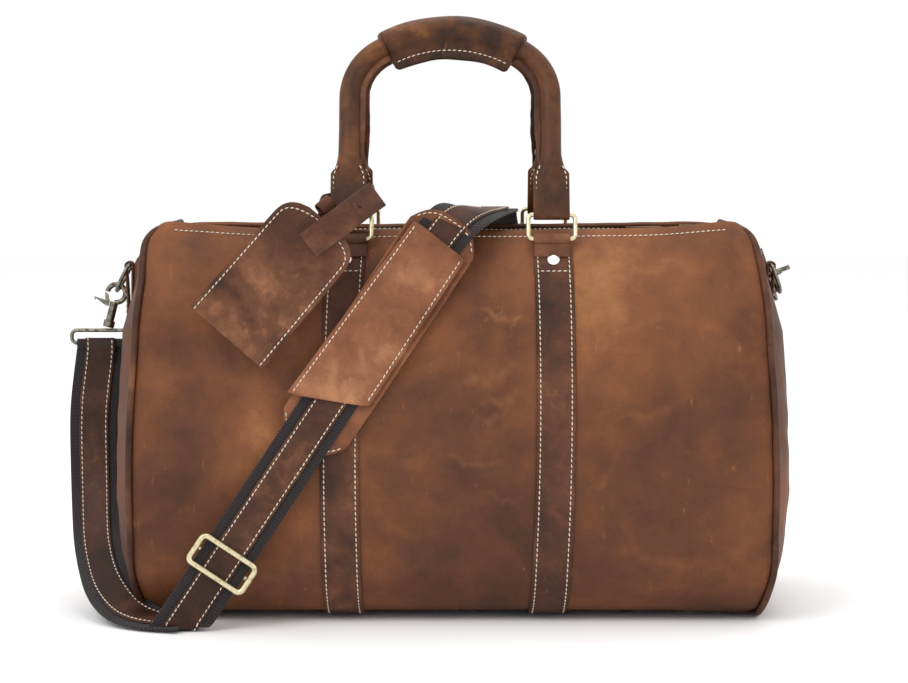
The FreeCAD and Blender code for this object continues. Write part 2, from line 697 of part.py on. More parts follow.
def build_strap():
    """Webbing with a leather strip, laid from the left hook over the front and top to the right hook."""
    half, thick = mm("webbing") / 2, mm("webbing_thick")
    bore = mm("bail_wire") + mm("air")
    stops, sections = strap_sections(half, thick)
    for node, (first, last) in SPANS.items():
        shape = Part.makeLoft(sections[first:last + 1], True, True)
        if first == 0:
            shape = folded(shape, "left", stops[0], half, bore)
        if last == len(stops) - 1:
            shape = folded(shape, "right", stops[-1], half, bore)
        keep(feature(node, shape), node)


def folded(shape, hand, stop, half, bore):
    """Add the sewn fold that holds a hook's bail at the strap's end."""
    centre = bail_place(hand).multVec(Vector(0, 0, -mm("bail_rise") / 2))
    wide = stop[1]
    loop = Part.makeCylinder(bore + mm("fold_wall"), half * 2, centre - wide * half, wide)
    hole = Part.makeCylinder(bore, half * 4, centre - wide * half * 2, wide)
    return shape.fuse(loop).removeSplitter().cut(hole)


def line_place(distance, outward):
    """Across the strap is X, along it is Z and the side that shows is -Y."""
    turn = Rotation(ACROSS, -OUTWARD, ALONG, "ZXY")
    return Placement(on_line(distance) + OUTWARD * outward, turn)


def build_buckle():
    """Wire frame over the strap with a cross bar under it, joined outside its edges."""
    wire, span = size("buckle_wire"), size("buckle_across")
    lift = size("webbing_thick") / 2 + wire + size("air")
    drop = lift - size("buckle_bar_drop")
    edge = mm("buckle_across") / 2
    loop = rounded_loop(span, size("buckle_along"), size("buckle_corner"))
    frame = bent_wire("buckle_frame", loop, wire)
    frame.Placement = at(0, -lift.number, 0)
    bar = rod("buckle_bar", size("buckle_bar"), span, at(-edge, drop.number, 0, (0, 1, 0), 90))
    thick, width = size("buckle_ear"), size("buckle_ear_width")
    ears = [block(f"buckle_ear_{name}", thick, lift + drop, width,
                  at(x - thick.number / 2, -lift.number, -width.number / 2))
            for name, x in (("left", -edge), ("right", edge))]
    keep(fuse("slider_buckle", frame, bar, *ears), "slider_buckle", line_place(0, 0))


def pad_outline(length, bend):
    """A long panel whose corners are rounded by bend."""
    half = size("pad_width") / 2
    high = size(length)
    return [(-half, bend, bend), (bend - half, 0), (half - bend, 0, bend), (half, bend),
            (half, high - bend, bend), (half - bend, high), (bend - half, high, bend), (-half, high - bend)]


def build_pad():
    """Two layers of leather, one each side of the strap, which passes between them."""
    thick = size("pad_thick")
    lift = (size("webbing_thick") / 2 + size("air") + thick / 2).number
    for node, length, start, side, bend in (
            ("pad_top", "pad_length", "pad_start", 1, "pad_corner"),
            ("pad_under", "pad_under_length", "pad_under_start", -1, "pad_under_corner")):
        layer = pad(body_with(node), node + "_leather", "XZ", pad_outline(length, size(bend)), thick)
        keep(layer.getParent(), node, line_place(mm(start), side * lift))


# ---- hooks and end rings -------------------------------------------------------------------------

# The end tab's leg in section, outwards and down from its loop: both sides run to the tab's sewn end.
END_TAB_LEG = ((3.4, 0), (1.2, 24), (1.8, 44), (-1.7, 44), (-2.2, 24), (-3.6, 0))


def build_end_tabs():
    """A leather loop on each end that holds a D-ring's straight bar."""
    bore = size("d_ring_wire") + size("air")
    for hand, way in (("left", -1), ("right", 1)):
        x, z = mm("end_reach") * way, mm("end_height")
        half = mm("end_tab_width") / 2
        node = f"end_tab_{hand}"
        turn = at(x, half, z, (1, 0, 0), 90)
        loop = rod(node + "_loop", bore + size("end_tab_leather"), size("end_tab_width"), turn)
        outline = [(x + way * out, z - down) for out, down in END_TAB_LEG]
        leg_body = body_with(node + "_leg")
        leg = pad(leg_body, node + "_leg_leather", "XZ", outline, size("end_tab_width")).getParent()
        whole = fuse(node + "_whole", loop, leg)
        hole = rod(node + "_bore", bore, size("end_tab_width"), turn)
        keep(join("Cut", node, whole, hole), node)


def d_ring_place(hand):
    """The straight bar lies in the end tab's loop and the bow hangs down and outwards."""
    way = -1 if hand == "left" else 1
    angle = math.radians(mm(f"d_ring_tilt_{hand}"))
    hang = Vector(way * math.sin(angle), 0, -math.cos(angle))
    bar = Vector(0, 1, 0)
    hinge = Vector(way * mm("end_reach"), 0, mm("end_height"))
    return Placement(hinge, Rotation(hang, bar.cross(hang), bar, "ZXY"))


def build_d_rings():
    half, reach, bend = size("d_ring_width") / 2, size("d_ring_reach"), size("d_ring_corner")
    bow = half
    spine = [(0, 0), (0, half - bend, -bend), (bend, half), (reach - bow, half, -bow), (reach, 0, -bow),
             (reach - bow, -half), (bend, -half, -bend), (0, bend - half)]
    for hand in ("left", "right"):
        keep(bent_wire(f"d_ring_{hand}", spine, size("d_ring_wire")), f"d_ring_{hand}", d_ring_place(hand))


# The trigger's plate in the claw's plane: its pivot end by the shank, the gate up and the thumb lever out.
TRIGGER = ((-8.8, -0.9), (-6.2, -2.2), (-3.7, -7), (-3.7, -11), (-6, -11), (-14, -7.5), (-15, -9),
           (-16, -6.5), (-7, -7))


def build_hook(hand, place):
    """Swivel snap hook: a claw on a shank with a collar, its trigger, and the bail that holds the strap."""
    claw, wire = size("claw_radius"), size("claw_wire")
    low = claw + size("shank_length")
    spine = [(-claw, 0, -claw), (0, claw, -claw), (claw, 0, -claw), (0, -claw)]
    hook = bent_wire(f"claw_{hand}", spine, wire, False)
    shank = rod(f"shank_{hand}", size("shank_radius"), size("shank_length"), at(0, 0, -low.number))
    collar = rod(f"collar_{hand}", size("collar_radius"), size("collar_length"),
                 at(0, 0, -low.number - mm("collar_length")))
    keep(fuse(f"hook_{hand}", hook, shank, collar), f"hook_{hand}", place)
    plate = pad(body_with(f"trigger_{hand}"), f"trigger_{hand}_plate", "XZ", TRIGGER, size("trigger_thick"))
    keep(plate.getParent(), f"trigger_{hand}", place)
    loop = rounded_loop(size("bail_width"), size("bail_rise"), size("bail_corner"))
    keep(bent_wire(f"bail_{hand}", loop, size("bail_wire")), f"bail_{hand}", bail_place(hand))


def claw_offset():
    """How far a claw's centre lies from the ring's wire that it holds."""
    return mm("claw_radius") - mm("claw_wire") - mm("d_ring_wire") - mm("claw_slack")


def hook_place_left():
    """The left claw hangs in the D-ring's bow, with its shank down to the strap."""
    bow = d_ring_place("left").multVec(Vector(mm("d_ring_reach"), 0, 0))
    drop = Vector(-0.25, 0, -0.968).normalize()
    return Placement(bow + drop * claw_offset(), Rotation(Vector(), Vector(0, 1, 0), -drop, "ZYX"))


def hook_place_right():
    """The right claw sits on the D-ring's rear limb, with its shank back to the strap."""
    ring = d_ring_place("right")
    limb = ring.multVec(Vector(RIGHT_LIMB, 0, mm("d_ring_width") / 2))
    back = Vector(0, 1, 0)
    turn = Rotation(Vector(), ring.Rotation.multVec(Vector(1, 0, 0)), -back, "ZYX")
    return Placement(limb + back * claw_offset(), turn)


# How far out along the right D-ring its claw sits, the swivel's end play in airs, and how far the left
# bail hangs beside its shank.
RIGHT_LIMB = 8
SWIVEL_PLAY = 4
LEFT_BAIL_SHIFT = 5.5


def bail_place(hand):
    """The bail stands clear of the collar's end; the right one is turned on its swivel."""
    place = hook_place_left() if hand == "left" else hook_place_right()
    reach = mm("claw_radius") + mm("shank_length") + mm("collar_length")
    gap = mm("bail_wire") + SWIVEL_PLAY * mm("air") + mm("bail_rise") / 2
    end = place.multVec(Vector(0, 0, -reach))
    if hand == "left":
        return at(end.x - LEFT_BAIL_SHIFT, end.y, end.z - gap)
    return Placement(end, place.Rotation).multiply(at(0, 0, -gap, (0, 0, 1), 90))


# ---- luggage tag ---------------------------------------------------------------------------------

# The tag's lower middle, halfway between its leaves, and how far each leaf stands from there.
TAG_FOOT = Vector(-164, -128.5, 215)
LEAF_SHIFT = 1.5

# The tag strap's lie, from the keeper on the handle's tab to its end in front of the leaves.
TAG_STRAP = (Vector(-56, -101, 318), Vector(-66, -118, 311), Vector(-80, -134.5, 300),
             Vector(-103, -136, 283))
TAG_STRAP_WIDE = Vector(-0.6, 0, 0.8)
TAG_KEEPER = (-75, -76, 317)


def build_tag():
    """Two leather leaves, the strap that holds them and its keeper round the front handle's left tab."""
    half, side, top = size("tag_width") / 2, size("tag_side"), size("tag_length")
    taper, bend = size("tag_taper"), size("tag_round")
    outline = [(-half, 0), (half, 0), (half - taper, side, bend), (half / 3, top), (-half / 3, top, bend),
               (taper - half, side)]
    for node, outward in (("tag_front", LEAF_SHIFT), ("tag_back", -LEAF_SHIFT)):
        leaf = pad(body_with(node), node + "_leaf", "XZ", outline, size("tag_leaf"))
        place = Placement(TAG_FOOT - Vector(0, outward, 0), Rotation(Vector(0, 1, 0), mm("tag_lean")))
        keep(leaf.getParent(), node, place)
    last = len(TAG_STRAP) - 1
    sections = [section(spot, TAG_STRAP[min(index + 1, last)] - TAG_STRAP[max(index - 1, 0)], TAG_STRAP_WIDE,
                        mm("tag_strap") / 2, mm("tag_strap_thick")) for index, spot in enumerate(TAG_STRAP)]
    keep(feature("tag_strap", Part.makeLoft(sections, True, True)), "tag_strap")
    wide, deep, wall = size("tag_loop_length") / 2, size("tag_loop_depth") / 2, size("tag_loop_wall")
    keeper = body_with("tag_loop")
    pad(keeper, "keeper", "XY", box_outline(wide, deep), size("tag_loop_height"))
    hole = keeper.newObject("PartDesign::Pocket", "keeper_hole")
    hole.Profile = sketch_in(keeper, "keeper_hole_sketch", "XY", box_outline(wide - wall, deep - wall))
    hole.Type = "ThroughAll"
    hole.Midplane = True
    keep(keeper, "tag_loop", at(*TAG_KEEPER))


def main():
    build_walls()
    build_ends()
    build_inside()
    build_feet()
    build_bands()
    build_rivets()
    build_rings()
    build_handles()
    build_zip()
    build_slider()
    build_strap()
    build_buckle()
    build_pad()
    build_end_tabs()
    build_d_rings()
    build_hook("left", hook_place_left())
    build_hook("right", hook_place_right())
    build_tag()


def check_document():
    """Stop on any object that failed to recompute and on any sub-part that isn't a sound solid."""
    doc.recompute()
    for thing in doc.Objects:
        if {"Invalid", "Error"} & set(thing.State):
            raise RuntimeError(f"{thing.Name} did not recompute")
    for thing in parts:
        if thing.Shape.isNull() or not thing.Shape.isValid() or not thing.Shape.Solids:
            raise RuntimeError(f"{thing.Label} is not a valid solid")


def write_parts():
    os.makedirs("parts", exist_ok=True)
    for thing in parts:
        thing.Shape.exportStep(f"parts/{thing.Label}.step")
        print(thing.Label, round(thing.Shape.Volume))


main()
check_document()
write_parts()
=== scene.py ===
import bpy
import numpy as np
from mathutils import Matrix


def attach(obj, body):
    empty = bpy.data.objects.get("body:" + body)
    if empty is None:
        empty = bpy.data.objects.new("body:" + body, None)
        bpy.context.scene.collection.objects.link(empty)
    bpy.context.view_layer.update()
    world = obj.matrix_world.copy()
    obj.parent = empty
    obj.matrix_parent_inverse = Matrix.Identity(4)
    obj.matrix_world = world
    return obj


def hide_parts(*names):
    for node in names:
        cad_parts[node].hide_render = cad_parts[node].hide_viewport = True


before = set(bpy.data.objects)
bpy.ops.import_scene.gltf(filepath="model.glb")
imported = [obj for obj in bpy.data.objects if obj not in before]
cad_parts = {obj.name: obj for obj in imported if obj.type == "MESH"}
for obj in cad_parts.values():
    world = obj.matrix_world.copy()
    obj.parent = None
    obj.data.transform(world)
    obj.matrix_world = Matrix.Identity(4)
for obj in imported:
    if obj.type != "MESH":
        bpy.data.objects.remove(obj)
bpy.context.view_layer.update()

# ---- Studio ------------------------------------------------------------------------------------
# A white sweep of paper, one broad soft light from the upper left, a weaker one from the right,
# and the room's own white. The camera stands two metres in front of the bag, a little above it.

MM = 0.001
EYE = (0.003, -2.0, 0.36)
EYE_TILT = np.radians(85.5)
LENS = 101.7
PAPER_HALF = 6.0


def linear(colour):
    """sRGB hex to linear RGBA: the standard two-part curve on each channel."""
    channels = np.array([int(colour[i:i + 2], 16) for i in (0, 2, 4)]) / 255
    low, high = channels / 12.92, ((channels + 0.055) / 1.055) ** 2.4
    return (*np.where(channels <= 0.04045, low, high).tolist(), 1.0)


def add(tree, kind, sockets=None, **settings):
    """Add a node, set its options, then fill or link its sockets."""
    node = tree.nodes.new(kind)
    for name, value in settings.items():
        setattr(node, name, value)
    for name, value in (sockets or {}).items():
        if isinstance(value, bpy.types.NodeSocket):
            tree.links.new(value, node.inputs[name])
        else:
            node.inputs[name].default_value = value
    return node


def new_material(name):
    material = bpy.data.materials.new(name)
    material.use_nodes = True
    material.node_tree.nodes.clear()
    return material, material.node_tree


def finish_material(tree, shader):
    add(tree, "ShaderNodeOutputMaterial", {"Surface": shader.outputs[0]})


def paper_material():
    """Matt white card, which only gives soft shade."""
    material, tree = new_material("white_card")
    shader = add(tree, "ShaderNodeBsdfPrincipled", {"Base Color": linear("fbfbfb"), "Roughness": 0.9})
    finish_material(tree, shader)
    return material


def mesh_object(name, points, faces, smooth=True):
    """An object from points in millimetres and faces as index rows."""
    mesh = bpy.data.meshes.new(name)
    corners = [list(map(int, face)) for face in faces]
    mesh.from_pydata((np.asarray(points, float) * MM).tolist(), [], corners)
    mesh.polygons.foreach_set("use_smooth", [smooth] * len(mesh.polygons))
    mesh.update()
    thing = bpy.data.objects.new(name, mesh)
    bpy.context.scene.collection.objects.link(thing)
    return thing


def dress(thing, material, slot, body, *nodes):
    """Give a piece its material and its body, and hide the CAD nodes that it stands for. slot is not used.
    """
    thing.data.materials.append(material)
    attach(thing, body)
    if nodes:
        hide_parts(*nodes)
    return thing


reach = PAPER_HALF / MM
paper = mesh_object("paper_sweep", [(-reach, -reach, -0.2), (reach, -reach, -0.2), (reach, reach, -0.2),
                                    (-reach, reach, -0.2)], [(0, 1, 2, 3)])
paper.data.materials.append(paper_material())

LAMPS = (("key_light", (-1.5, -1.9, 2.3), 30, 1.6), ("fill_light", (2.2, -1.6, 1.2), 7, 1.5),
         ("top_light", (0.2, 0.5, 2.4), 18, 1.6))
AIM = (0, 0, 0.2)
for lamp_name, spot, energy, width in LAMPS:
    lamp = bpy.data.objects.new(lamp_name, bpy.data.lights.new(lamp_name, "AREA"))
    lamp.data.energy = energy
    lamp.data.size = width
    lamp.location = spot
    away = np.array(spot) - np.array(AIM)
    tilt = np.arctan2(np.hypot(away[0], away[1]), away[2])
    lamp.rotation_euler = (tilt, 0, np.arctan2(away[0], -away[1]))
    bpy.context.scene.collection.objects.link(lamp)

world = bpy.data.worlds.new("white_room")
bpy.context.scene.world = world
world.use_nodes = True
world.node_tree.nodes["Background"].inputs["Color"].default_value = (1, 1, 1, 1)
world.node_tree.nodes["Background"].inputs["Strength"].default_value = 1.0
bpy.context.scene.view_settings.view_transform = "Standard"

camera = bpy.data.objects.new("camera", bpy.data.cameras.new("camera"))
camera.data.lens = LENS
camera.location = EYE
camera.rotation_euler = (EYE_TILT, 0, 0)
bpy.context.scene.collection.objects.link(camera)
bpy.context.scene.camera = camera

# ---- Leather shell: outlines -------------------------------------------------------------------
# The shell is cut from 3 mm waxed pull-up cowhide. One curve gives a wall's shape from the base up
# to the top edge, another the half width at each height. Both are runs of arcs, as the patterns are.

WALL = ((78, 8, 37), (115, 45, 620), (110, 200, 120), (74, 294, 0))
SIDE = ((231, 8, 130), (240, 62, 1500), (236, 205, 480), (227, 280, 18), (215, 294, 0))
BASE_Z = 8
SKIN = 3
LEFT_SQUEEZE = 4


def arcs(corners, samples=60):
    """Points along runs between corners: a short arc whose centre is left of its chord, or right of it
    where the radius is negative, and a straight line where the radius is nought."""
    line = []
    for (x0, z0, radius), (x1, z1, _) in zip(corners, corners[1:]):
        start, end = np.array([x0, z0], float), np.array([x1, z1], float)
        if radius == 0:
            line.append(start + (end - start) * np.linspace(0, 1, samples)[:, None])
            continue
        chord = end - start
        span = np.hypot(*chord)
        left = np.array([-chord[1], chord[0]]) / span * np.sign(radius)
        centre = (start + end) / 2 + left * np.sqrt(radius ** 2 - span ** 2 / 4)
        angles = np.unwrap([np.arctan2(*(spot - centre)[::-1]) for spot in (start, end)])
        turn = np.linspace(angles[0], angles[1], samples)
        line.append(centre + abs(radius) * np.stack([np.cos(turn), np.sin(turn)], 1))
    return np.concatenate([part[:-1] for part in line] + [line[-1][-1:]])


def along(line, shares):
    """Positions at shares of a polyline's length, by linear interpolation."""
    steps = np.r_[0, np.cumsum(np.linalg.norm(np.diff(line, axis=0), axis=1))]
    wanted = np.asarray(shares) * steps[-1]
    return np.stack([np.interp(wanted, steps, line[:, axis]) for axis in range(line.shape[1])], -1)


wall_line = arcs(WALL)
side_line = arcs(SIDE)


def smooth_step(value, low, high):
    """0 below low, 1 above high, with a smooth cubic between."""
    share = np.clip((value - low) / (high - low), 0, 1)
    return share * share * (3 - 2 * share)


def half_width(z, way):
    """Half the width at a height. The left end is squeezed in by the strap that hangs against it."""
    squeezed = LEFT_SQUEEZE * (np.asarray(way) < 0) * (1 - smooth_step(z, 250, 284))
    return np.interp(z, side_line[:, 1], side_line[:, 0]) - squeezed


def share_at(z):
    """Share of the wall's length at a height."""
    steps = np.r_[0, np.cumsum(np.linalg.norm(np.diff(wall_line, axis=0), axis=1))]
    return np.interp(z, wall_line[:, 1], steps / steps[-1])


def ripples(places, size, seed, count=7):
    """Smooth uneven relief between -1 and 1: a sum of sines of about one size in seeded directions."""
    rng = np.random.default_rng(seed)
    total = np.zeros(places.shape[:-1])
    for _ in range(count):
        way = rng.normal(size=places.shape[-1])
        way /= np.linalg.norm(way)
        length = size * rng.uniform(0.7, 1.6)
        total += np.sin(2 * np.pi * (places @ way) / length + rng.uniform(0, 2 * np.pi))
    return total / np.sqrt(count) / 1.4


def bump_up(value, middle, width):
    """A soft bell of height 1 about middle."""
    return np.exp(-((value - middle) / width) ** 2)


BAND_SPACING, BAND_BOW, BAND_DRIFT = 76, 4, 3


def band_centre(share, hand):
    """A band's middle at a share of the wall: it bows outwards and drifts left towards the base."""
    return hand * (BAND_SPACING + BAND_BOW * np.sin(np.pi * share)) - BAND_DRIFT * (1 - share)


BASE_DROOP, CORNER_DROOP = 3, 2.5


def droop(x, share):
    """How far the filled bag's base hangs below its pattern, a little more at the right corner."""
    corner = np.clip((x - 130) / 90, 0, 1) ** 2
    return (BASE_DROOP + CORNER_DROOP * corner) * np.clip(1 - share / 0.12, 0, 1)


def wall_point(x, share, side, lift=0.0):
    """A point on a wall's outer face, moved outwards by lift: the wall curve, puffed out between the
    seams, pulled in at the piping, slack at the top edge and slightly uneven."""
    share = np.asarray(share, float)
    flat = along(wall_line, share)
    step = 0.004
    ahead = along(wall_line, np.clip(share + step, 0, 1)) - along(wall_line, np.clip(share - step, 0, 1))
    length = np.linalg.norm(ahead, axis=-1, keepdims=True)
    out = np.stack([ahead[..., 1], -ahead[..., 0]], -1) / length
    z = flat[..., 1]
    across = np.clip(np.abs(x) / half_width(z, x), 0, 1)
    puff = 2.2 * (1 - across ** 4) * np.sin(np.pi * np.clip(share, 0, 1))
    puff = puff - 2.6 * np.exp(-(1 - across) * 26)
    places = np.stack([np.broadcast_to(x, z.shape) * 1.0, z], -1)
    broad, fine = ripples(places, 95, 3 if side < 0 else 5), ripples(places, 33, 9 if side < 0 else 11)
    uneven = 0.75 * broad + 0.28 * fine
    seams = np.clip((1 - across) * 9, 0, 1) * np.clip(share * 10, 0, 1)
    pressed = sum(bump_up(x, band_centre(share, hand), 20) for hand in (-1, 1))
    puff = puff + uneven * seams * (1 - 0.7 * np.clip(pressed, 0, 1)) - 0.8 * pressed * seams
    raised = 6 if side < 0 else 0
    sag = 1.5 * np.cos(np.clip(x / 190, -1, 1) * np.pi / 2)
    sag = sag - raised * np.clip((np.abs(x) - 120) / 90, 0, 1) ** 2
    sag = sag * np.clip((share - 0.75) / 0.25, 0, 1) ** 2 + droop(x, share)
    depth = flat[..., 0] + out[..., 0] * (puff + lift)
    height = z + out[..., 1] * (puff + lift) - sag
    return np.stack([np.broadcast_to(x, z.shape), side * depth, height], -1)


def wall_normal(x, share, side):
    """The outward direction of a wall, from two short steps on it."""
    step = 0.002
    above, below = np.clip(share + step, 0, 1), np.clip(share - step, 0, 1)
    up = wall_point(x, above, side) - wall_point(x, below, side)
    right = wall_point(x + 1, share, side) - wall_point(x - 1, share, side)
    out = np.cross(right, up) if side < 0 else np.cross(up, right)
    return out / np.linalg.norm(out, axis=-1, keepdims=True)


def grid_faces(rows, columns, wrap=False, flip=False):
    """Quads of a grid of points stored row by row; wrap joins the last column to the first."""
    r, c = np.meshgrid(np.arange(rows - 1), np.arange(columns if wrap else columns - 1), indexing="ij")
    after = (c + 1) % columns
    low, high = r * columns, (r + 1) * columns
    quads = np.stack([low + c, low + after, high + after, high + c], -1).reshape(-1, 4)
    return quads[:, ::-1] if flip else quads


def grid_object(name, points, flip=False, uv=None):
    """A sheet from a grid of points, with its two parameters as UV in metres if given."""
    rows, columns = points.shape[:2]
    thing = mesh_object(name, points.reshape(-1, 3), grid_faces(rows, columns, flip=flip))
    if uv is not None:
        paint_uv(thing, uv.reshape(-1, 2) * MM)
    return thing


def paint_uv(thing, values):
    """Put one UV per point on every face corner."""
    loops = np.zeros(len(thing.data.loops), np.int32)
    thing.data.loops.foreach_get("vertex_index", loops)
    layer = thing.data.uv_layers.new(name="surface")
    layer.data.foreach_set("uv", np.asarray(values, np.float32)[loops].ravel())


def paint(thing, name, values):
    """Store one number per point for a material to read."""
    layer = thing.data.attributes.new(name, "FLOAT", "POINT")
    layer.data.foreach_set("value", np.asarray(values, np.float32).ravel())


def thicken(thing, thickness, offset=-1.0):
    """Give a sheet its thickness in millimetres, inwards for offset -1, with closed edges."""
    solid = thing.modifiers.new("thickness", "SOLIDIFY")
    solid.thickness = thickness * MM
    solid.offset = offset
    solid.use_even_offset = False


# Waxed pull-up cowhide: matt and dusty, browner where wax lies thick, orange where it has been bent
# and pale where it is rubbed. Pores are about 0.5 mm; they are drawn at 1.1 mm so that they show.


def mix_colour(tree, factor, first, second):
    """Blend two colours; the colour sockets of a Mix node are its seventh and eighth."""
    node = add(tree, "ShaderNodeMix", data_type="RGBA")
    for index, value in ((0, factor), (6, first), (7, second)):
        if isinstance(value, bpy.types.NodeSocket):
            tree.links.new(value, node.inputs[index])
        else:
            node.inputs[index].default_value = value
    return node.outputs[2]


def waxed_leather(name, browns, patch=0.11, seed=0.0, contrast=1.0, worn=True, rough=0.62):
    """Clouds of four browns from deep to pale, rubbed scratches, fine pores and creases. patch is the
    clouds' size in metres; a worn piece also reads its painted tone, which holds painted light and
    shade as well as the hide's own shades, and its scuff marks."""
    material, tree = new_material(name)
    place = add(tree, "ShaderNodeTexCoord").outputs["Object"]
    shift = (seed, seed * 0.7, seed * 1.3)
    moved = add(tree, "ShaderNodeMapping", {"Vector": place, "Location": shift}).outputs[0]
    clouds = add(tree, "ShaderNodeTexNoise", {"Vector": moved, "Scale": 1 / patch, "Detail": 5,
                                              "Roughness": 0.56, "Distortion": 0.5}).outputs["Fac"]
    mottle = add(tree, "ShaderNodeTexNoise", {"Vector": moved, "Scale": 5.2 / patch, "Detail": 6,
                                              "Roughness": 0.62, "Distortion": 0.3}).outputs["Fac"]
    dust = add(tree, "ShaderNodeTexNoise", {"Vector": moved, "Scale": 650, "Detail": 3,
                                            "Roughness": 0.7}).outputs["Fac"]
    both = add(tree, "ShaderNodeMath", {0: mottle, 1: 0.42, 2: clouds}, operation="MULTIPLY_ADD").outputs[0]
    if worn:
        # tone adds painted light and shade on the walls and gussets to the hide's own lighter and darker
        # patches.
        tone = add(tree, "ShaderNodeAttribute", attribute_name="tone").outputs["Fac"]
        both = add(tree, "ShaderNodeMath", {0: both, 1: tone}, operation="ADD").outputs[0]
    middle, spread = 0.71, 0.17 / contrast
    stops = [middle + spread * share for share in (-1.5, -0.4, 0.55, 1.8)]
    ramp = add(tree, "ShaderNodeValToRGB", {"Fac": both})
    ramp.color_ramp.elements[0].position, ramp.color_ramp.elements[1].position = stops[0], stops[3]
    for stop in stops[1:3]:
        ramp.color_ramp.elements.new(stop)
    for element, brown in zip(ramp.color_ramp.elements, browns):
        element.color = linear(brown)
    speck = add(tree, "ShaderNodeMapRange", {"Value": dust, "From Min": 0.3, "From Max": 0.75,
                                             "To Min": 0.88, "To Max": 1.1}).outputs[0]
    colour = add(tree, "ShaderNodeVectorMath", {0: ramp.outputs["Color"], "Scale": speck},
                 operation="SCALE").outputs[0]
    streaks = add(tree, "ShaderNodeMapping", {"Vector": moved, "Rotation": (0.4, 0.5, 0.9),
                                              "Scale": (160, 14, 60)}).outputs[0]
    scratch = add(tree, "ShaderNodeTexNoise", {"Vector": streaks, "Scale": 1.0, "Detail": 4,
                                               "Roughness": 0.6}).outputs["Fac"]
    rubbed = add(tree, "ShaderNodeMapRange", {"Value": scratch, "From Min": 0.66, "From Max": 0.78,
                                              "To Min": 0.0, "To Max": 0.55}).outputs[0]
    if worn:
        scuff = add(tree, "ShaderNodeAttribute", attribute_name="scuff").outputs["Fac"]
        rubbed = add(tree, "ShaderNodeMath", {0: scuff, 1: rubbed}, operation="MAXIMUM").outputs[0]
    colour = mix_colour(tree, rubbed, colour, linear(browns[3]))
    pores = add(tree, "ShaderNodeTexVoronoi", {"Vector": moved, "Scale": 900},
                feature="SMOOTH_F1").outputs["Distance"]
    creases = add(tree, "ShaderNodeTexNoise", {"Vector": moved, "Scale": 150, "Detail": 6,
                                               "Roughness": 0.65}).outputs["Fac"]
    relief = add(tree, "ShaderNodeMath", {0: pores, 1: 0.35, 2: creases},
                 operation="MULTIPLY_ADD").outputs[0]
    bump = add(tree, "ShaderNodeBump", {"Height": relief, "Strength": 0.5, "Distance": 0.0006}).outputs[0]
    dull = add(tree, "ShaderNodeMapRange", {"Value": mottle, "From Min": 0.3, "From Max": 0.7,
                                            "To Min": rough - 0.1, "To Max": rough + 0.12}).outputs[0]
    shader = add(tree, "ShaderNodeBsdfPrincipled", {"Base Color": colour, "Roughness": dull, "Normal": bump,
                                                    "IOR": 1.5, "Specular IOR Level": 0.24})
    finish_material(tree, shader)
    return material


shell_leather = waxed_leather("waxed_cowhide", ("3f2416", "5f3823", "7b4a2c", "9c6840"), patch=0.15,
                              seed=2.3, contrast=0.85)

# ---- Front and back panels ---------------------------------------------------------------------
# One hide panel each, from the base seam to the turned top edge. The front one carries the marks
# of use and painted light: paler over the shoulder, partly where it is bent and partly a painted
# highlight where the top turns to the light, darker in its middle and towards the base as painted
# shade, with rubbed crease lines.


def stroke(x, z, start, end, width, fade=0.35):
    """A soft worn line between two points: a bell across it, fading towards both ends."""
    start, end = np.array(start, float), np.array(end, float)
    run = end - start
    share = ((x - start[0]) * run[0] + (z - start[1]) * run[1]) / (run @ run)
    off = ((x - start[0]) * run[1] - (z - start[1]) * run[0]) / np.hypot(*run)
    wobble = 2.5 * np.sin(share * 9) + 1.2 * np.sin(share * 23 + 1)
    ends = np.clip(share / fade, 0, 1) * np.clip((1 - share) / fade, 0, 1)
    return np.exp(-((off + wobble) / width) ** 2) * ends * ((share > 0) & (share < 1))


# Clouds of lighter (+) or darker (-) colour, partly the wax and partly painted light: lighter near
# the top where light falls, darker near the base as painted shade. Columns: middle, size, strength.
FRONT_WAX_AND_LIGHT = (
    ((-190, 262), (45, 30), 0.05), ((-180, 200), (40, 30), 0.02), ((-200, 120), (40, 60), -0.2),
    ((-205, 30), (30, 30), 0.03), ((-130, 20), (60, 40), -0.12), ((40, 255), (60, 22), 0.10),
    ((30, 205), (60, 26), 0.11),
    ((30, 150), (35, 14), 0.02), ((10, 120), (60, 30), -0.03), ((20, 60), (60, 50), -0.02),
    ((-20, 20), (50, 20), -0.04), ((130, 260), (60, 26), 0.0), ((190, 240), (40, 40), 0.07),
    ((215, 170), (40, 50), -0.09), ((200, 150), (40, 50), -0.03), ((150, 100), (50, 40), -0.03),
    ((110, 45), (30, 22), -0.02), ((205, 50), (55, 60), -0.24), ((170, 30), (60, 30), -0.06),
)
FRONT_STROKES = (
    ((15, 235), (60, 225), 2.0, 0.5), ((0, 175), (58, 196), 5.0, 0.3), ((20, 165), (56, 172), 3.0, 0.35),
    ((10, 150), (50, 160), 3.5, 0.25), ((-15, 128), (45, 118), 2.0, 0.3), ((25, 224), (40, 236), 0.8, 0.7),
    ((60, 235), (40, 215), 0.7, 0.5), ((110, 150), (190, 170), 3.0, 0.16),
    ((100, 215), (170, 232), 3.0, 0.14), ((150, 228), (156, 219), 0.7, 0.6),
    ((210, 125), (213, 112), 0.8, 0.6), ((128, 270), (150, 262), 1.2, 0.3),
    ((-150, 150), (-120, 190), 2.5, 0.15), ((-60, 90), (-20, 60), 3.0, 0.18),
    ((110, 60), (200, 40), 4.0, 0.16), ((20, 100), (60, 92), 2.0, 0.2),
    ((95, 90), (130, 130), 2.5, 0.15), ((-215, 240), (-150, 262), 3.0, 0.2),
)


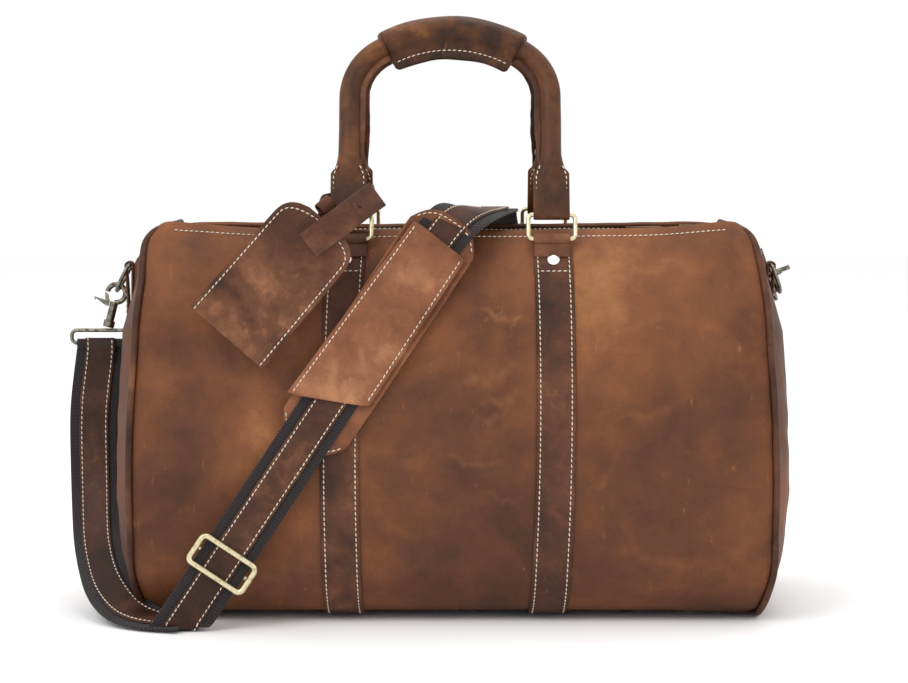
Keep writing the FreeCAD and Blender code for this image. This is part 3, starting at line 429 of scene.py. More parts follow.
def panel(name, side, rows=190, columns=340):
    """A wall as a grid: across from seam to seam, up from the base seam to the top edge."""
    share = np.linspace(0, 1, rows)[:, None]
    across = np.linspace(-1, 1, columns)[None, :]
    z = along(wall_line, share[:, 0])[:, 1][:, None]
    x = across * (half_width(z, across) - 0.5)
    points = wall_point(x, np.broadcast_to(share, x.shape), side)
    thing = grid_object(name, points, flip=side > 0)
    x, z = points[..., 0], points[..., 2]
    tone = sum(strength * np.exp(-((x - mx) / sx) ** 2 - ((z - mz) / sz) ** 2)
               for (mx, mz), (sx, sz), strength in FRONT_WAX_AND_LIGHT)
    edge = np.clip(1 - (half_width(z, x) - np.abs(x)) / 14, 0, 1)
    # Paler within 14 mm of the side seams; the last term darkens the wall along the base seam, painted
    # shade where the wall turns under.
    tone = tone + 0.05 * edge * (ripples(points, 60, 21) > -0.2) - 0.05 * bump_up(share, 0.0, 0.05)
    marks = [depth * stroke(x, z, start, end, width) for start, end, width, depth in FRONT_STROKES]
    scuff = np.max(marks, axis=0)
    scuff = scuff * (0.6 + 0.4 * ripples(points, 9, 31))
    # The back wall takes the front's clouds and marks mirrored and weaker, painted light and shade
    # included.
    if side > 0:
        tone, scuff = tone[:, ::-1] * 0.8, scuff[:, ::-1] * 0.8
    paint(thing, "tone", tone)
    paint(thing, "scuff", np.clip(scuff, 0, 1))
    thicken(thing, SKIN)
    return thing


dress(panel("front_wall", -1), shell_leather, "shell_leather", "bag", "front_panel")
dress(panel("back_wall", 1, 120, 220), shell_leather, "shell_leather", "bag", "back_panel")

# The base is one flat panel, sewn to both walls and stiffened from inside.
base_x = np.linspace(-1, 1, 90)[None, :]
base_x = base_x * (half_width(BASE_Z, base_x) - 2)
base_y = np.linspace(-78, 78, 30)[:, None]
base_low = BASE_Z + 0.5 + 0.4 * np.sin(base_x / 40) - droop(base_x, 0.0)
base_sheet = np.stack(np.broadcast_arrays(base_x, base_y, base_low), -1)
base_panel = grid_object("base_sheet", base_sheet, flip=True)
dress(base_panel, shell_leather, "shell_leather", "bag", "bottom_panel")
thicken(base_panel, 2.4)

# ---- End panels and piping ---------------------------------------------------------------------
# Each end is a softly domed gusset. A cord wrapped in darker leather is sewn into its seam all round.
# The gusset is pressed flat where the D-ring's tab is sewn on and where the right hook lies.

PIPE = 2.5
TAB_SEAT = 245.8
END_SWELL = ((8, 8), (50, 16), (90, 19.5), (145, 19.5), (215, 18.5), (228, 15.5), (242, 12.5), (252, 11),
             (275, 7), (292, 3))


def end_panel(name, way, rows=120, columns=100):
    """A dome over the arch: swells in the middle, meets the seam at its rim, with soft vertical folds."""
    share = np.linspace(0.006, 0.994, rows)[:, None]
    across = np.linspace(-1, 1, columns)[None, :]
    flat = along(wall_line, share[:, 0])
    z = flat[:, 1][:, None] * np.ones_like(across)
    y = across * (flat[:, 0][:, None] - 3.2)
    closing = np.clip(share * 14, 0, 1) * np.clip((1 - share) * 14, 0, 1)
    rise = (1 - np.abs(across) ** 3.3) * closing ** 0.6
    places = np.stack([y, z], -1)
    folds = 1.1 * ripples(places * [1.0, 0.35], 46, 41 if way < 0 else 43) + 0.4 * ripples(places, 21, 47)
    swell = np.interp(z, *zip(*END_SWELL))
    x = half_width(z, way) + 0.8 + rise * (swell + folds)
    tabbed = np.exp(-(y / 16) ** 4) * smooth_step(z, 203, 217) * (1 - smooth_step(z, 262, 282))
    behind = smooth_step(y, 4, 14) * smooth_step(z, 222, 238) * (way > 0)
    x = way * (x + (TAB_SEAT - x) * tabbed - np.clip(x - TAB_SEAT + 6, 0, 12) * behind)
    z = z - droop(way * half_width(z, way), share)
    thing = grid_object(name, np.stack([x, y, z], -1), flip=way < 0)
    # The gussets are painted darker all over, painted shade of the ends turned away from the light, with a
    # little uneven tone.
    paint(thing, "tone", 0.05 * ripples(places, 80, 51) - 0.12)
    paint(thing, "scuff", np.clip(ripples(places * [1.0, 0.3], 12, 53) - 0.9, 0, 1) * 0.8)
    thicken(thing, SKIN)
    return thing


def frames_along(centres, closed=False):
    """Unit direction of travel at each point of a path."""
    if closed:
        run = np.roll(centres, -1, 0) - np.roll(centres, 1, 0)
    else:
        run = np.gradient(centres, axis=0)
    return run / np.linalg.norm(run, axis=1, keepdims=True)


def sweep(name, centres, wides, profile, closed=False, scale=None, uv=True):
    """Carry a closed profile of (across, outward) points along a path. wides gives the across direction;
    outward is square to it and to the path. scale stretches the profile at each point."""
    run = frames_along(centres, closed)
    wides = wides - run * np.sum(wides * run, 1, keepdims=True)
    wides = wides / np.linalg.norm(wides, axis=1, keepdims=True)
    outs = np.cross(wides, run)
    profile = np.asarray(profile, float)
    shape = np.broadcast_to(profile, (len(centres), *profile.shape)) if profile.ndim == 2 else profile
    if scale is not None:
        shape = shape * np.asarray(scale)[:, None, :]
    points = centres[:, None] + wides[:, None] * shape[..., :1] + outs[:, None] * shape[..., 1:]
    rows, columns = points.shape[:2]
    if closed:
        points = np.concatenate([points, points[:1]])
    faces = grid_faces(rows + 1 if closed else rows, columns, wrap=True).tolist()
    flat = points.reshape(-1, 3)
    if closed:
        flat = flat[:-columns]
        faces = [[index % len(flat) for index in face] for face in faces]
    else:
        faces.append(list(range(columns))[::-1])
        faces.append([(rows - 1) * columns + index for index in range(columns)])
    faces = [face[::-1] for face in faces]
    thing = mesh_object(name, flat, faces)
    if uv:
        steps = np.r_[0, np.cumsum(np.linalg.norm(np.diff(centres, axis=0), axis=1))]
        values = np.stack([shape[..., 0], np.broadcast_to(steps[:, None], shape.shape[:2])], -1)
        paint_uv(thing, values.reshape(-1, 2) * MM)
    return thing


def circle(radius, count=14):
    turn = np.linspace(0, 2 * np.pi, count, endpoint=False)
    return np.stack([radius * np.cos(turn), radius * np.sin(turn)], 1)


def slab_profile(width, thick, edge=0.45, count=4, crown=0.0):
    """A strap's section: a flat bar with rounded corners, its outer face raised by crown."""
    bend = min(thick * edge, thick / 2 - 0.01)
    corners = ((width / 2 - bend, thick / 2 - bend, 0), (bend - width / 2, thick / 2 - bend, 90),
               (bend - width / 2, bend - thick / 2, 180), (width / 2 - bend, bend - thick / 2, 270))
    points = []
    for x, y, angle in corners:
        turn = np.radians(angle + np.linspace(0, 90, count))
        points.append(np.stack([x + bend * np.cos(turn), y + bend * np.sin(turn)], 1))
        if angle in (0, 180):
            inner = np.linspace(1, -1, 9)[1:-1] * (width / 2 - bend) * (1 if angle == 0 else -1)
            points.append(np.stack([inner, np.full(7, thick / 2 if angle == 0 else -thick / 2)], 1))
    shape = np.concatenate(points)
    shape[:, 1] += crown * (1 - (shape[:, 0] / (width / 2)) ** 2) * (shape[:, 1] > 0)
    return shape


def arch_path(inset, way, offset):
    """The seam round an end: up the front, over the top, down the back and under, as one closed loop."""
    share = np.linspace(0, 1, 150)
    wall = along(wall_line, share)
    depth, z = wall[:, 0] - inset, wall[:, 1]
    z = z - inset * 0.5 * (share > 0.99) + inset * 0.5 * (share < 0.01)
    half = half_width(z, way)
    front = np.stack([way * (half + offset), -depth, z - droop(way * half, share)], 1)
    back = front[::-1] * [1, -1, 1]
    bridge = np.linspace(0, 1, 40)[1:-1, None]
    top = front[-1] + (back[0] - front[-1]) * bridge
    under = back[-1] + (front[0] - back[-1]) * bridge
    return np.concatenate([front, top, back, under])


piping_leather = waxed_leather("dark_waxed_piping", ("2e1a12", "44291d", "5c3926", "855738"), patch=0.05,
                               seed=7.1, worn=False)
for hand, way in (("left", -1), ("right", 1)):
    dress(end_panel(f"{hand}_gusset", way), shell_leather, "shell_leather", "bag", f"end_panel_{hand}")
    path = arch_path(0.6, way, 1.6)
    path = path + 0.25 * ripples(path, 40, 61)[:, None] * [1, 0, 0]
    sideways = np.broadcast_to([1.0, 0, 0], path.shape)
    piping = sweep(f"{hand}_piping", path, sideways, circle(PIPE, 12), closed=True)
    dress(piping, piping_leather, "piping_leather", "bag", f"piping_{hand}")

# ---- Stitches ----------------------------------------------------------------------------------
# Waxed cream cotton thread, sewn by machine at about 3.9 mm a stitch and pulled into the leather.

STITCH_PITCH = 3.9
STITCH_LENGTH = 2.9
THREAD = 0.42


def thread_material():
    """Twisted cotton: matt, slightly soiled, with a fine diagonal twist."""
    material, tree = new_material("waxed_cotton_thread")
    place = add(tree, "ShaderNodeTexCoord").outputs["Object"]
    soil = add(tree, "ShaderNodeTexNoise", {"Vector": place, "Scale": 60, "Detail": 3}).outputs["Fac"]
    colour = mix_colour(tree, soil, linear("b8a58e"), linear("eadfcd"))
    twist = add(tree, "ShaderNodeTexWave", {"Vector": place, "Scale": 900, "Distortion": 1.0},
                bands_direction="DIAGONAL").outputs["Fac"]
    bump = add(tree, "ShaderNodeBump", {"Height": twist, "Strength": 0.3, "Distance": 0.0002}).outputs[0]
    shader = add(tree, "ShaderNodeBsdfPrincipled", {"Base Color": colour, "Roughness": 0.75,
                                                    "Normal": bump})
    finish_material(tree, shader)
    return material


thread = thread_material()


def stitch_row(line, normals, pitch=STITCH_PITCH, length=STITCH_LENGTH, radius=THREAD, slant=0.09):
    """Points and faces of one row: each stitch is a short bowed bead along the line, sunk at its ends."""
    steps = np.r_[0, np.cumsum(np.linalg.norm(np.diff(line, axis=0), axis=1))]
    count = max(int(steps[-1] / pitch), 1)
    middle = (np.arange(count) + 0.5) * steps[-1] / count
    spot = np.stack([np.interp(middle, steps, line[:, axis]) for axis in range(3)], 1)
    out = np.stack([np.interp(middle, steps, normals[:, axis]) for axis in range(3)], 1)
    out /= np.linalg.norm(out, axis=1, keepdims=True)
    ahead = np.stack([np.interp(middle + 0.5, steps, line[:, axis]) for axis in range(3)], 1) - spot
    behind = spot - np.stack([np.interp(middle - 0.5, steps, line[:, axis]) for axis in range(3)], 1)
    run = ahead + behind
    run = run - out * np.sum(run * out, 1, keepdims=True)
    run /= np.linalg.norm(run, axis=1, keepdims=True)
    side = np.cross(out, run)
    run = run + side * slant
    rings = np.linspace(-1, 1, 5)
    swell = np.array([0.35, 0.9, 1.0, 0.9, 0.35])
    turn = np.linspace(0, 2 * np.pi, 6, endpoint=False)
    bow = np.repeat(0.25 - 0.5 * rings ** 2, 6)
    bead = np.stack([np.repeat(rings * length / 2, 6),
                     (swell[:, None] * np.cos(turn) * radius * 1.15).ravel(),
                     (swell[:, None] * np.sin(turn) * radius).ravel() + bow * radius], 1)
    points = spot[:, None] + bead[None, :, :1] * run[:, None] + bead[None, :, 1:2] * side[:, None] \
        + bead[None, :, 2:] * out[:, None]
    template = grid_faces(5, 6, wrap=True).tolist() + [list(range(6))[::-1], list(range(24, 30))]
    faces = [[index + 30 * n for index in face] for n in range(count) for face in template]
    return points.reshape(-1, 3), faces


def stitches(name, rows, body):
    """All rows of stitching on a piece, as one mesh."""
    points, faces, start = [], [], 0
    for line, normals in rows:
        row_points, row_faces = stitch_row(line, normals)
        points.append(row_points)
        faces += [[index + start for index in face] for face in row_faces]
        start += len(row_points)
    return dress(mesh_object(name, np.concatenate(points), faces), thread, "stitching", body)


def wall_row(x, share, side, lift):
    """A stitch line on a wall at a lift above it."""
    x, share = np.broadcast_arrays(np.asarray(x, float), np.asarray(share, float))
    return wall_point(x, share, side, lift), wall_normal(x, share, side)


hem_x = np.linspace(-207, 207, 300)
stitches("top_edge_stitching", [wall_row(hem_x, share_at(288.5), side, 0.25) for side in (-1, 1)], "bag")

# ---- Bands -------------------------------------------------------------------------------------
# Darker straps of 2.4 mm leather run from under the base up each wall and fold round a ring.
# Both edges are sewn; a box of stitching and a nickel rivet hold the fold.

BAND_WIDE = 29
BAND_THICK = 2.2
BAR_Y, BAR_Z = 88, 286
LOOP_RADIUS = 4.1

band_leather = waxed_leather("dark_waxed_band", ("301c12", "472a1b", "5d3825", "855638"), patch=0.07,
                             seed=4.4, contrast=1.2, worn=False, rough=0.55)


def band(face, hand_name, side, hand):
    """A strap that starts under the base and follows the wall's face up to the ring."""
    share = np.linspace(0.0, share_at(281), 150)
    x = band_centre(share, hand)
    body = wall_point(x, share, side, BAND_THICK / 2 + 0.15)
    under = wall_point(x[0], 0.0, side, BAND_THICK / 2 + 0.15)
    tail = np.stack([np.full(12, x[0]), np.linspace(side * 40, under[1] - side * 1.5, 12),
                     np.full(12, under[2])], 1)
    path = np.concatenate([tail, body])
    path = along(path, np.linspace(0, 1, 190))
    wides = np.broadcast_to([1.0, 0, 0], path.shape) * -side
    section = slab_profile(BAND_WIDE, BAND_THICK, crown=0.25)
    thing = sweep(f"band_{face}_{hand_name}_strap", path, -wides, section)
    return dress(thing, band_leather, "trim_leather", "bag", f"band_{face}_{hand_name}")


def ring_loop(face, hand_name, side, hand):
    """The band's fold round the ring's lower bar: a short thick tube with a tongue down to the band."""
    x = band_centre(1.0, hand)
    turn = np.radians(np.linspace(250, -70, 40))
    radius = LOOP_RADIUS - 1.0
    y = side * (BAR_Y + radius * np.cos(turn))
    z = BAR_Z + radius * np.sin(turn)
    top = wall_point(np.array([x]), np.array([share_at(281)]), side, BAND_THICK / 2 + 0.6)[0]
    start = wall_point(np.array([x]), np.array([share_at(272)]), side, BAND_THICK + 1.0)[0]
    bend = np.stack([np.full(40, x), y, z], 1)[::-1]
    path = np.concatenate([[start, (start + bend[0]) / 2], bend, [top]])
    path = along(path, np.linspace(0, 1, 70))
    wides = np.broadcast_to([1.0, 0, 0], path.shape)
    thing = sweep(f"ring_loop_{face}_{hand_name}", path, wides, slab_profile(27.5, 1.9, crown=0.1))
    return dress(thing, band_leather, "trim_leather", "bag")


for face, side in (("front", -1), ("back", 1)):
    for hand_name, hand in (("left", -1), ("right", 1)):
        band(face, hand_name, side, hand)
        ring_loop(face, hand_name, side, hand)
        share = np.linspace(0.02, share_at(277), 160)
        centre = band_centre(share, hand)
        rows = [wall_row(centre + edge, share, side, BAND_THICK + 0.35) for edge in (-11.6, 11.6)]
        for z in (277.5, 262):
            line = np.linspace(-10.5, 10.5, 20) + band_centre(share_at(z), hand)
            rows.append(wall_row(line, np.full(20, share_at(z)), side, BAND_THICK + 0.45))
        stitches(f"band_{face}_{hand_name}_stitching", rows, "bag")


# ---- Rivets ------------------------------------------------------------------------------------
# Polished nickel double-cap rivets, hammered through the band and the wall under each ring.


def metal(name, colour, dark, rough, tarnish=0.45, scale=220):
    """Plated zinc: bright where it is handled, darker in the tarnished clouds, with faint brush lines."""
    material, tree = new_material(name)
    place = add(tree, "ShaderNodeTexCoord").outputs["Object"]
    cloud = add(tree, "ShaderNodeTexNoise", {"Vector": place, "Scale": scale, "Detail": 5}).outputs["Fac"]
    worn = add(tree, "ShaderNodeMapRange", {"Value": cloud, "From Min": tarnish,
                                            "From Max": tarnish + 0.3}).outputs[0]
    tint = mix_colour(tree, worn, linear(colour), linear(dark))
    grain = add(tree, "ShaderNodeTexNoise", {"Vector": place, "Scale": 1500, "Detail": 2}).outputs["Fac"]
    gloss = add(tree, "ShaderNodeMapRange", {"Value": cloud, "To Min": rough,
                                             "To Max": rough + 0.18}).outputs[0]
    bump = add(tree, "ShaderNodeBump", {"Height": grain, "Strength": 0.12, "Distance": 0.0002}).outputs[0]
    shader = add(tree, "ShaderNodeBsdfPrincipled", {"Base Color": tint, "Roughness": gloss, "Normal": bump,
                                                    "Metallic": 1.0})
    finish_material(tree, shader)
    return material


def turned_shape(name, profile, spots, normals, count=28):
    """Profile of (radius, height) points turned about a normal at each spot, poles closed at radius 0."""
    profile = np.asarray(profile, float)
    turn = np.linspace(0, 2 * np.pi, count, endpoint=False)
    points, faces = [], []
    for spot, normal in zip(np.asarray(spots, float), np.asarray(normals, float)):
        normal = normal / np.linalg.norm(normal)
        first = np.cross(normal, [1.0, 0.3, 0.2])
        first /= np.linalg.norm(first)
        second = np.cross(normal, first)
        ring = np.cos(turn)[:, None] * first + np.sin(turn)[:, None] * second
        start = sum(len(part) for part in points)
        points.append((spot + profile[:, None, :1] * ring + profile[:, None, 1:] * normal).reshape(-1, 3))
        faces += (grid_faces(len(profile), count, wrap=True) + start).tolist()
        last = start + (len(profile) - 1) * count
        faces += [list(range(start, start + count))[::-1], list(range(last, last + count))]
    return mesh_object(name, np.concatenate(points), faces)


nickel = metal("polished_nickel", "f4f3ee", "c9c6bb", 0.18, 0.6)
RIVET = ((4.9, -0.2), (4.9, 0.35), (4.6, 0.8), (3.8, 1.25), (2.6, 1.6), (1.3, 1.78), (0.05, 1.82))
for face, side in (("front", -1), ("back", 1)):
    share = np.full(2, share_at(270.5))
    middle = band_centre(share, np.array([-1.0, 1.0]))
    spots = wall_point(middle, share, side, BAND_THICK + 0.5)
    caps = turned_shape(f"{face}_rivet_caps", RIVET, spots, wall_normal(middle, share, side))
    dress(caps, nickel, "rivet_nickel", "bag", f"rivets_{face}")

# ---- Rings -------------------------------------------------------------------------------------
# Rectangular rings of cast zinc, plated in pale antique brass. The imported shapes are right, so they
# only get their finish. The slider buckle has the same plate; D-rings and snap hooks are dark bronze.

pale_brass = metal("pale_antique_brass", "ddd1ac", "8f8159", 0.24, 0.52)
dark_bronze = metal("dark_aged_bronze", "8d877a", "3d382e", 0.26, 0.40, 300)


def finish_node(name, material):
    """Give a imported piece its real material."""
    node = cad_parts[name]
    thing = node if isinstance(node, bpy.types.Object) else bpy.data.objects[name]
    for slot in thing.material_slots:
        slot.material = material


for name in ("ring_front_left", "ring_front_right", "ring_back_left", "ring_back_right", "slider_buckle"):
    finish_node(name, pale_brass)
for hand in ("left", "right"):
    for name in ("d_ring", "hook", "trigger", "bail"):
        finish_node(f"{name}_{hand}", dark_bronze)

# ---- Handles -----------------------------------------------------------------------------------
# A cord core rolled in leather and sewn along its inner side. Each end flattens into a tongue that
# is stitched over a doubled tab, and the tab folds round the ring's upper bar.

LEAN = np.radians(22)
UPPER_Y, UPPER_Z = 80.695, 304.08
TOP_ARC = 102.89
ROLL = 8.0


def handle_place(u, v, w, side):
    """A point in a handle's own plane: u across, v up the leaning plane from the bar, w out of it."""
    u, v, w = np.broadcast_arrays(*(np.asarray(value, float) for value in (u, v, w)))
    return np.stack([u, side * (UPPER_Y - np.sin(LEAN) * v + np.cos(LEAN) * w),
                     UPPER_Z + np.cos(LEAN) * v + np.sin(LEAN) * w], -1)


handle_leather = waxed_leather("rolled_waxed_handle", ("2c180d", "482914", "623a1f", "8c5a32"), patch=0.06,
                               seed=9.6, worn=False, rough=0.5)
HANDLE = ((-76, 12, 0), (-76, 95, -45), (-55.1, 133, -TOP_ARC), (55.1, 133, -45), (76, 95, 0), (76, 12, 0))
spine = along(arcs(HANDLE), np.linspace(0, 1, 220))
spine_normal = np.gradient(spine, axis=0)
spine_normal = np.stack([-spine_normal[:, 1], spine_normal[:, 0]], 1)
spine_normal /= np.linalg.norm(spine_normal, axis=1, keepdims=True)


def in_plane(vectors, side):
    """Directions in the handle's plane as directions in space."""
    return handle_place(vectors[:, 0], vectors[:, 1], 0, side) - handle_place(0, 0, 0, side)


def square_row(line, way, side):
    """A stitch line whose stitches stand square out of the handle's plane, on the side given by way."""
    return line, line * 0 + handle_place(0, 0, way, side) - handle_place(0, 0, 0, side)


for face, side in (("front", -1), ("back", 1)):
    low = spine[:, 1]
    wide = 12.9 - (12.9 - ROLL) * smooth_step(low, 24, 50)
    wide = wide * (1 - 0.25 * (1 - smooth_step(low, 12, 15)))
    deep = 3.6 + (ROLL - 3.6) * smooth_step(low, 16, 46)
    uneven = 1 + 0.03 * ripples(np.stack([spine[:, 0], spine[:, 1], spine[:, 0] * 0], 1), 30, 71)
    centres = handle_place(spine[:, 0], spine[:, 1], 0.0, side)
    roll = sweep(f"{face}_handle_roll", centres, in_plane(spine_normal, side), circle(1.0, 22),
                 scale=np.stack([wide * uneven, deep * uneven], 1))
    dress(roll, handle_leather, "handle_leather", f"handle_{face}", f"handle_{face}")
    inner = np.arange(16, 204)
    tapered = smooth_step(inner, 16, 34) * (1 - smooth_step(inner, 185, 203))
    wave = 0.9 * np.sin(np.linspace(0, 60, 220)) * ripples(spine, 14, 73)
    seam = spine - spine_normal * (ROLL + 1.4 + 0.4 * wave)[:, None]
    seam_places = handle_place(seam[inner, 0], seam[inner, 1], wave[inner] * 0.7, side)
    taper = np.stack([0.3 + 0.7 * tapered, 0.5 + 0.5 * tapered], 1)
    seam_strip = sweep(f"{face}_handle_seam", seam_places, in_plane(spine_normal[inner], side),
                       slab_profile(5.4, 3.0), scale=taper)
    dress(seam_strip, piping_leather, "handle_leather", f"handle_{face}")
    tab_rows = []
    for hand_name, hand in (("left", -1), ("right", 1)):
        turn = np.radians(np.linspace(0, -180, 24))
        radius = 3.1
        up = np.linspace(36, 1, 16)
        gap = 3.0 + 0.5 * np.sin(up / 36 * np.pi)
        v = np.concatenate([up, radius * np.sin(turn), up[::-1]])
        w = np.concatenate([gap, radius * np.cos(turn), -gap[::-1]])
        path = along(handle_place(76 * hand, v, w, side), np.linspace(0, 1, 70))
        ends = smooth_step(np.abs(np.linspace(-1, 1, 70)), 1.0, 0.88)
        tab = sweep(f"{face}_handle_tab_{hand_name}", path, np.broadcast_to([1.0, 0, 0], path.shape),
                    slab_profile(27, 1.9), scale=np.stack([0.72 + 0.28 * np.sqrt(ends), np.ones(70)], 1))
        dress(tab, handle_leather, "handle_leather", f"handle_{face}")
        if hand > 0:
            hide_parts(f"handle_{face}_tabs")
        side_v = np.linspace(38, 13.5, 30)
        side_u = 11.3 - 3.2 * smooth_step(side_v, 28, 40)
        out = 0.4 + deep[0] + 0.35 + np.interp(side_v, [13, 30, 38], [0, 0.4, 1.8])
        for edge in (-1, 1):
            for way in (-1, 1):
                line = handle_place(76 * hand + edge * side_u, side_v, way * (out - 0.5), side)
                tab_rows.append(square_row(line, way, side))
        for way in (-1, 1):
            line = handle_place(np.linspace(-10.5, 10.5, 20) + 76 * hand, 13.5, way * (deep[0] * 0.9), side)
            tab_rows.append(square_row(line, way, side))
    stitches(f"{face}_handle_tab_stitching", tab_rows, f"handle_{face}")

# ---- Grip --------------------------------------------------------------------------------------
# A second piece of leather wrapped over padding round the front handle's top, its two edges sewn
# together into a flange on the inner side.

grip_leather = waxed_leather("waxed_grip", ("1e1009", "331c0f", "553016", "8c5a32"), patch=0.05, seed=12.2,
                             worn=False, rough=0.48)
turn = np.radians(np.linspace(-148, 148, 26))
pillow = np.stack([11.9 * np.cos(turn), 11.9 * np.sin(turn)], 1)
flange = np.array([(-13.5, 3.0), (-17, 2.4), (-20.5, 2.2), (-22, 1.6), (-22.4, 0), (-22, -1.6),
                   (-20.5, -2.2), (-17, -2.4), (-13.5, -3.0)])
grip_profile = np.concatenate([pillow, flange])
top_x = np.linspace(-50.5, 53.5, 90)
rise = 149 - TOP_ARC + np.sqrt(TOP_ARC ** 2 - top_x ** 2)
grip_spine = np.stack([top_x, rise], 1)
grip_normal = np.stack([top_x, rise - (149 - TOP_ARC)], 1) / TOP_ARC
ends = np.clip(np.minimum(top_x + 50.5, 53.5 - top_x) / 2.5, 0, 1)
swell = 0.9 + 0.1 * np.sqrt(ends) + 0.015 * np.sin(top_x / 7) + 0.02 * np.cos(top_x / 23)
grip_places = handle_place(grip_spine[:, 0], grip_spine[:, 1], 0.0, -1)
grip = sweep("grip_wrap", grip_places, in_plane(grip_normal, -1), grip_profile,
             scale=np.stack([swell, swell * (1 + 0.03 * np.sin(top_x / 11))], 1))
dress(grip, grip_leather, "handle_leather", "handle_front", "handle_wrap")
grip_rows = []
for way in (-1, 1):
    low = grip_spine - grip_normal * 16.5
    line = handle_place(low[2:-2, 0], low[2:-2, 1], way * 2.75, -1)
    grip_rows.append(square_row(line, way, -1))
stitches("grip_stitching", grip_rows, "handle_front")

# ---- Zip top -----------------------------------------------------------------------------------
# Two leather gussets carry the zip between the walls' top edges. Each has black tape with cast
# brass teeth along its free edge; the zip's ends are sewn to fixed leather.

zip_leather = waxed_leather("waxed_zip_gusset", ("2e1b12", "4b2e20", "623e28", "80553a"), patch=0.08,
                            seed=14.0, worn=False)


def cloth(name, dark, light, across=0.0016, along_size=0.0019, rough=0.85):
    """Woven cotton on the piece's own surface: slanting ribs crossed by picks, coarse enough to show, with
    painted shade in the weave's hollows.
    """
    material, tree = new_material(name)
    surface = add(tree, "ShaderNodeTexCoord").outputs["UV"]
    split = add(tree, "ShaderNodeSeparateXYZ", {"Vector": surface}).outputs
    rib, pick = (add(tree, "ShaderNodeMath", {0: socket, 1: 2 * np.pi / size},
                     operation="MULTIPLY").outputs[0]
                 for socket, size in ((split[0], across), (split[1], along_size)))
    slant = add(tree, "ShaderNodeMath", {0: rib, 1: pick}, operation="ADD").outputs[0]
    ribs, picks = (add(tree, "ShaderNodeMath", {0: angle}, operation="SINE").outputs[0]
                   for angle in (slant, pick))
    weave = add(tree, "ShaderNodeMath", {0: picks, 1: 0.5, 2: ribs}, operation="MULTIPLY_ADD").outputs[0]
    fuzz = add(tree, "ShaderNodeTexNoise", {"Vector": surface, "Scale": 900, "Detail": 3}).outputs["Fac"]
    height = add(tree, "ShaderNodeMath", {0: fuzz, 1: 1.2, 2: weave}, operation="MULTIPLY_ADD").outputs[0]
    # The colour follows the weave's height: darker in its hollows and paler on the raised ribs, painted
    # shade and light; the fuzz adds uneven fibre colour.
    tone = add(tree, "ShaderNodeMapRange", {"Value": height, "From Min": -1.2, "From Max": 2.2}).outputs[0]
    colour = mix_colour(tree, tone, linear(dark), linear(light))
    bump = add(tree, "ShaderNodeBump", {"Height": height, "Strength": 0.7, "Distance": 0.0004}).outputs[0]
    shader = add(tree, "ShaderNodeBsdfPrincipled", {"Base Color": colour, "Roughness": rough,
                                                    "Normal": bump, "Sheen Weight": 0.12,
                                                    "Specular IOR Level": 0.25})
    finish_material(tree, shader)
    return material


tape_cloth = cloth("woven_zip_tape", "0f0d0d", "2b2725", 0.0009, 0.0011)
zip_brass = metal("antique_zip_brass", "a8935f", "5b4c2c", 0.3)


def sheet(name, xs, ys, height, thickness, flip=False):
    """A flat sheet over a grid of x and y with its height given by a function of both."""
    x, y = np.meshgrid(xs, ys)
    thing = grid_object(name, np.stack([x, y, height(x, y)], -1), flip=flip, uv=np.stack([y, x], -1))
    thicken(thing, thickness)
    return thing


def tooth_points(side):
    """Every tooth of one side: a small block with a tapered head, pitched 2.6 mm along the tape."""
    head = np.array([(-0.85, 0.5), (0.85, 0.5), (0.85, 2.6), (0.45, 3.2), (-0.45, 3.2), (-0.85, 2.6)])
    x = np.arange(-168 + (0 if side < 0 else 1.3), 168, 2.6)
    low, high = 284.6, 286.9
    outline = np.stack([head[:, 0], side * (3.9 - head[:, 1])], 1)
    block = np.concatenate([np.c_[outline, np.full(6, low)], np.c_[outline, np.full(6, high)]])
    points = block[None] + np.stack([x, x * 0, x * 0], 1)[:, None]
    ring = [[k, (k + 1) % 6, 6 + (k + 1) % 6, 6 + k] for k in range(6)]
    ring += [[5, 4, 3, 2, 1, 0], [6, 7, 8, 9, 10, 11]]
    if side > 0:
        ring = [face[::-1] for face in ring]
    faces = [[index + 12 * n for index in face] for n in range(len(x)) for face in ring]
    return points.reshape(-1, 3), faces


for face, side in (("front", -1), ("back", 1)):
    edges = np.linspace(side * 68, side * 9, 16)
    flap = sheet(f"{face}_zip_gusset", np.linspace(-170, 170, 90), edges if side < 0 else edges[::-1],
                 lambda x, y: 288 + 0.5 * np.sin(x / 23) * np.cos(y / 19), 2.0)
    dress(flap, zip_leather, "trim_leather", f"zip_flap_{face}", f"zip_flap_{face}")
    edges = np.linspace(side * 17, side * 2.6, 5)
    tape = sheet(f"{face}_zip_tape", np.linspace(-170, 170, 60), edges if side < 0 else edges[::-1],
                 lambda x, y: 285.9 + 0 * x, 0.9)
    dress(tape, tape_cloth, "zip_tape", f"zip_flap_{face}", f"zip_tape_{face}")
    points, faces = tooth_points(side)
    teeth = mesh_object(f"{face}_zip_teeth", points, faces, smooth=False)
    dress(teeth, zip_brass, "zip_metal", f"zip_flap_{face}")
    x = np.linspace(-168, 168, 240)
    rows = []
    for y in (side * 11.5, side * 65):
        line = np.stack([x, x * 0 + y, 288.3 + 0.5 * np.sin(x / 23) * np.cos(y / 19)], 1)
        rows.append((line, np.broadcast_to([0.0, 0, 1.0], line.shape)))
    stitches(f"{face}_zip_stitching", rows, f"zip_flap_{face}")
for hand_name, hand in (("left", -1), ("right", 1)):
    xs = np.sort(np.linspace(171, 211, 14) * hand)
    end = sheet(f"{hand_name}_zip_end", xs, np.linspace(-68, 68, 30),
                lambda x, y: 287.2 + 0.5 * np.cos(y / 20) + 0 * x, 1.0)
    dress(end, zip_leather, "trim_leather", "bag", f"zip_end_{hand_name}")
for name in ("zip_slider", "zip_pull"):
    finish_node(name, zip_brass)
pull_x = np.linspace(163.5, 137, 40)
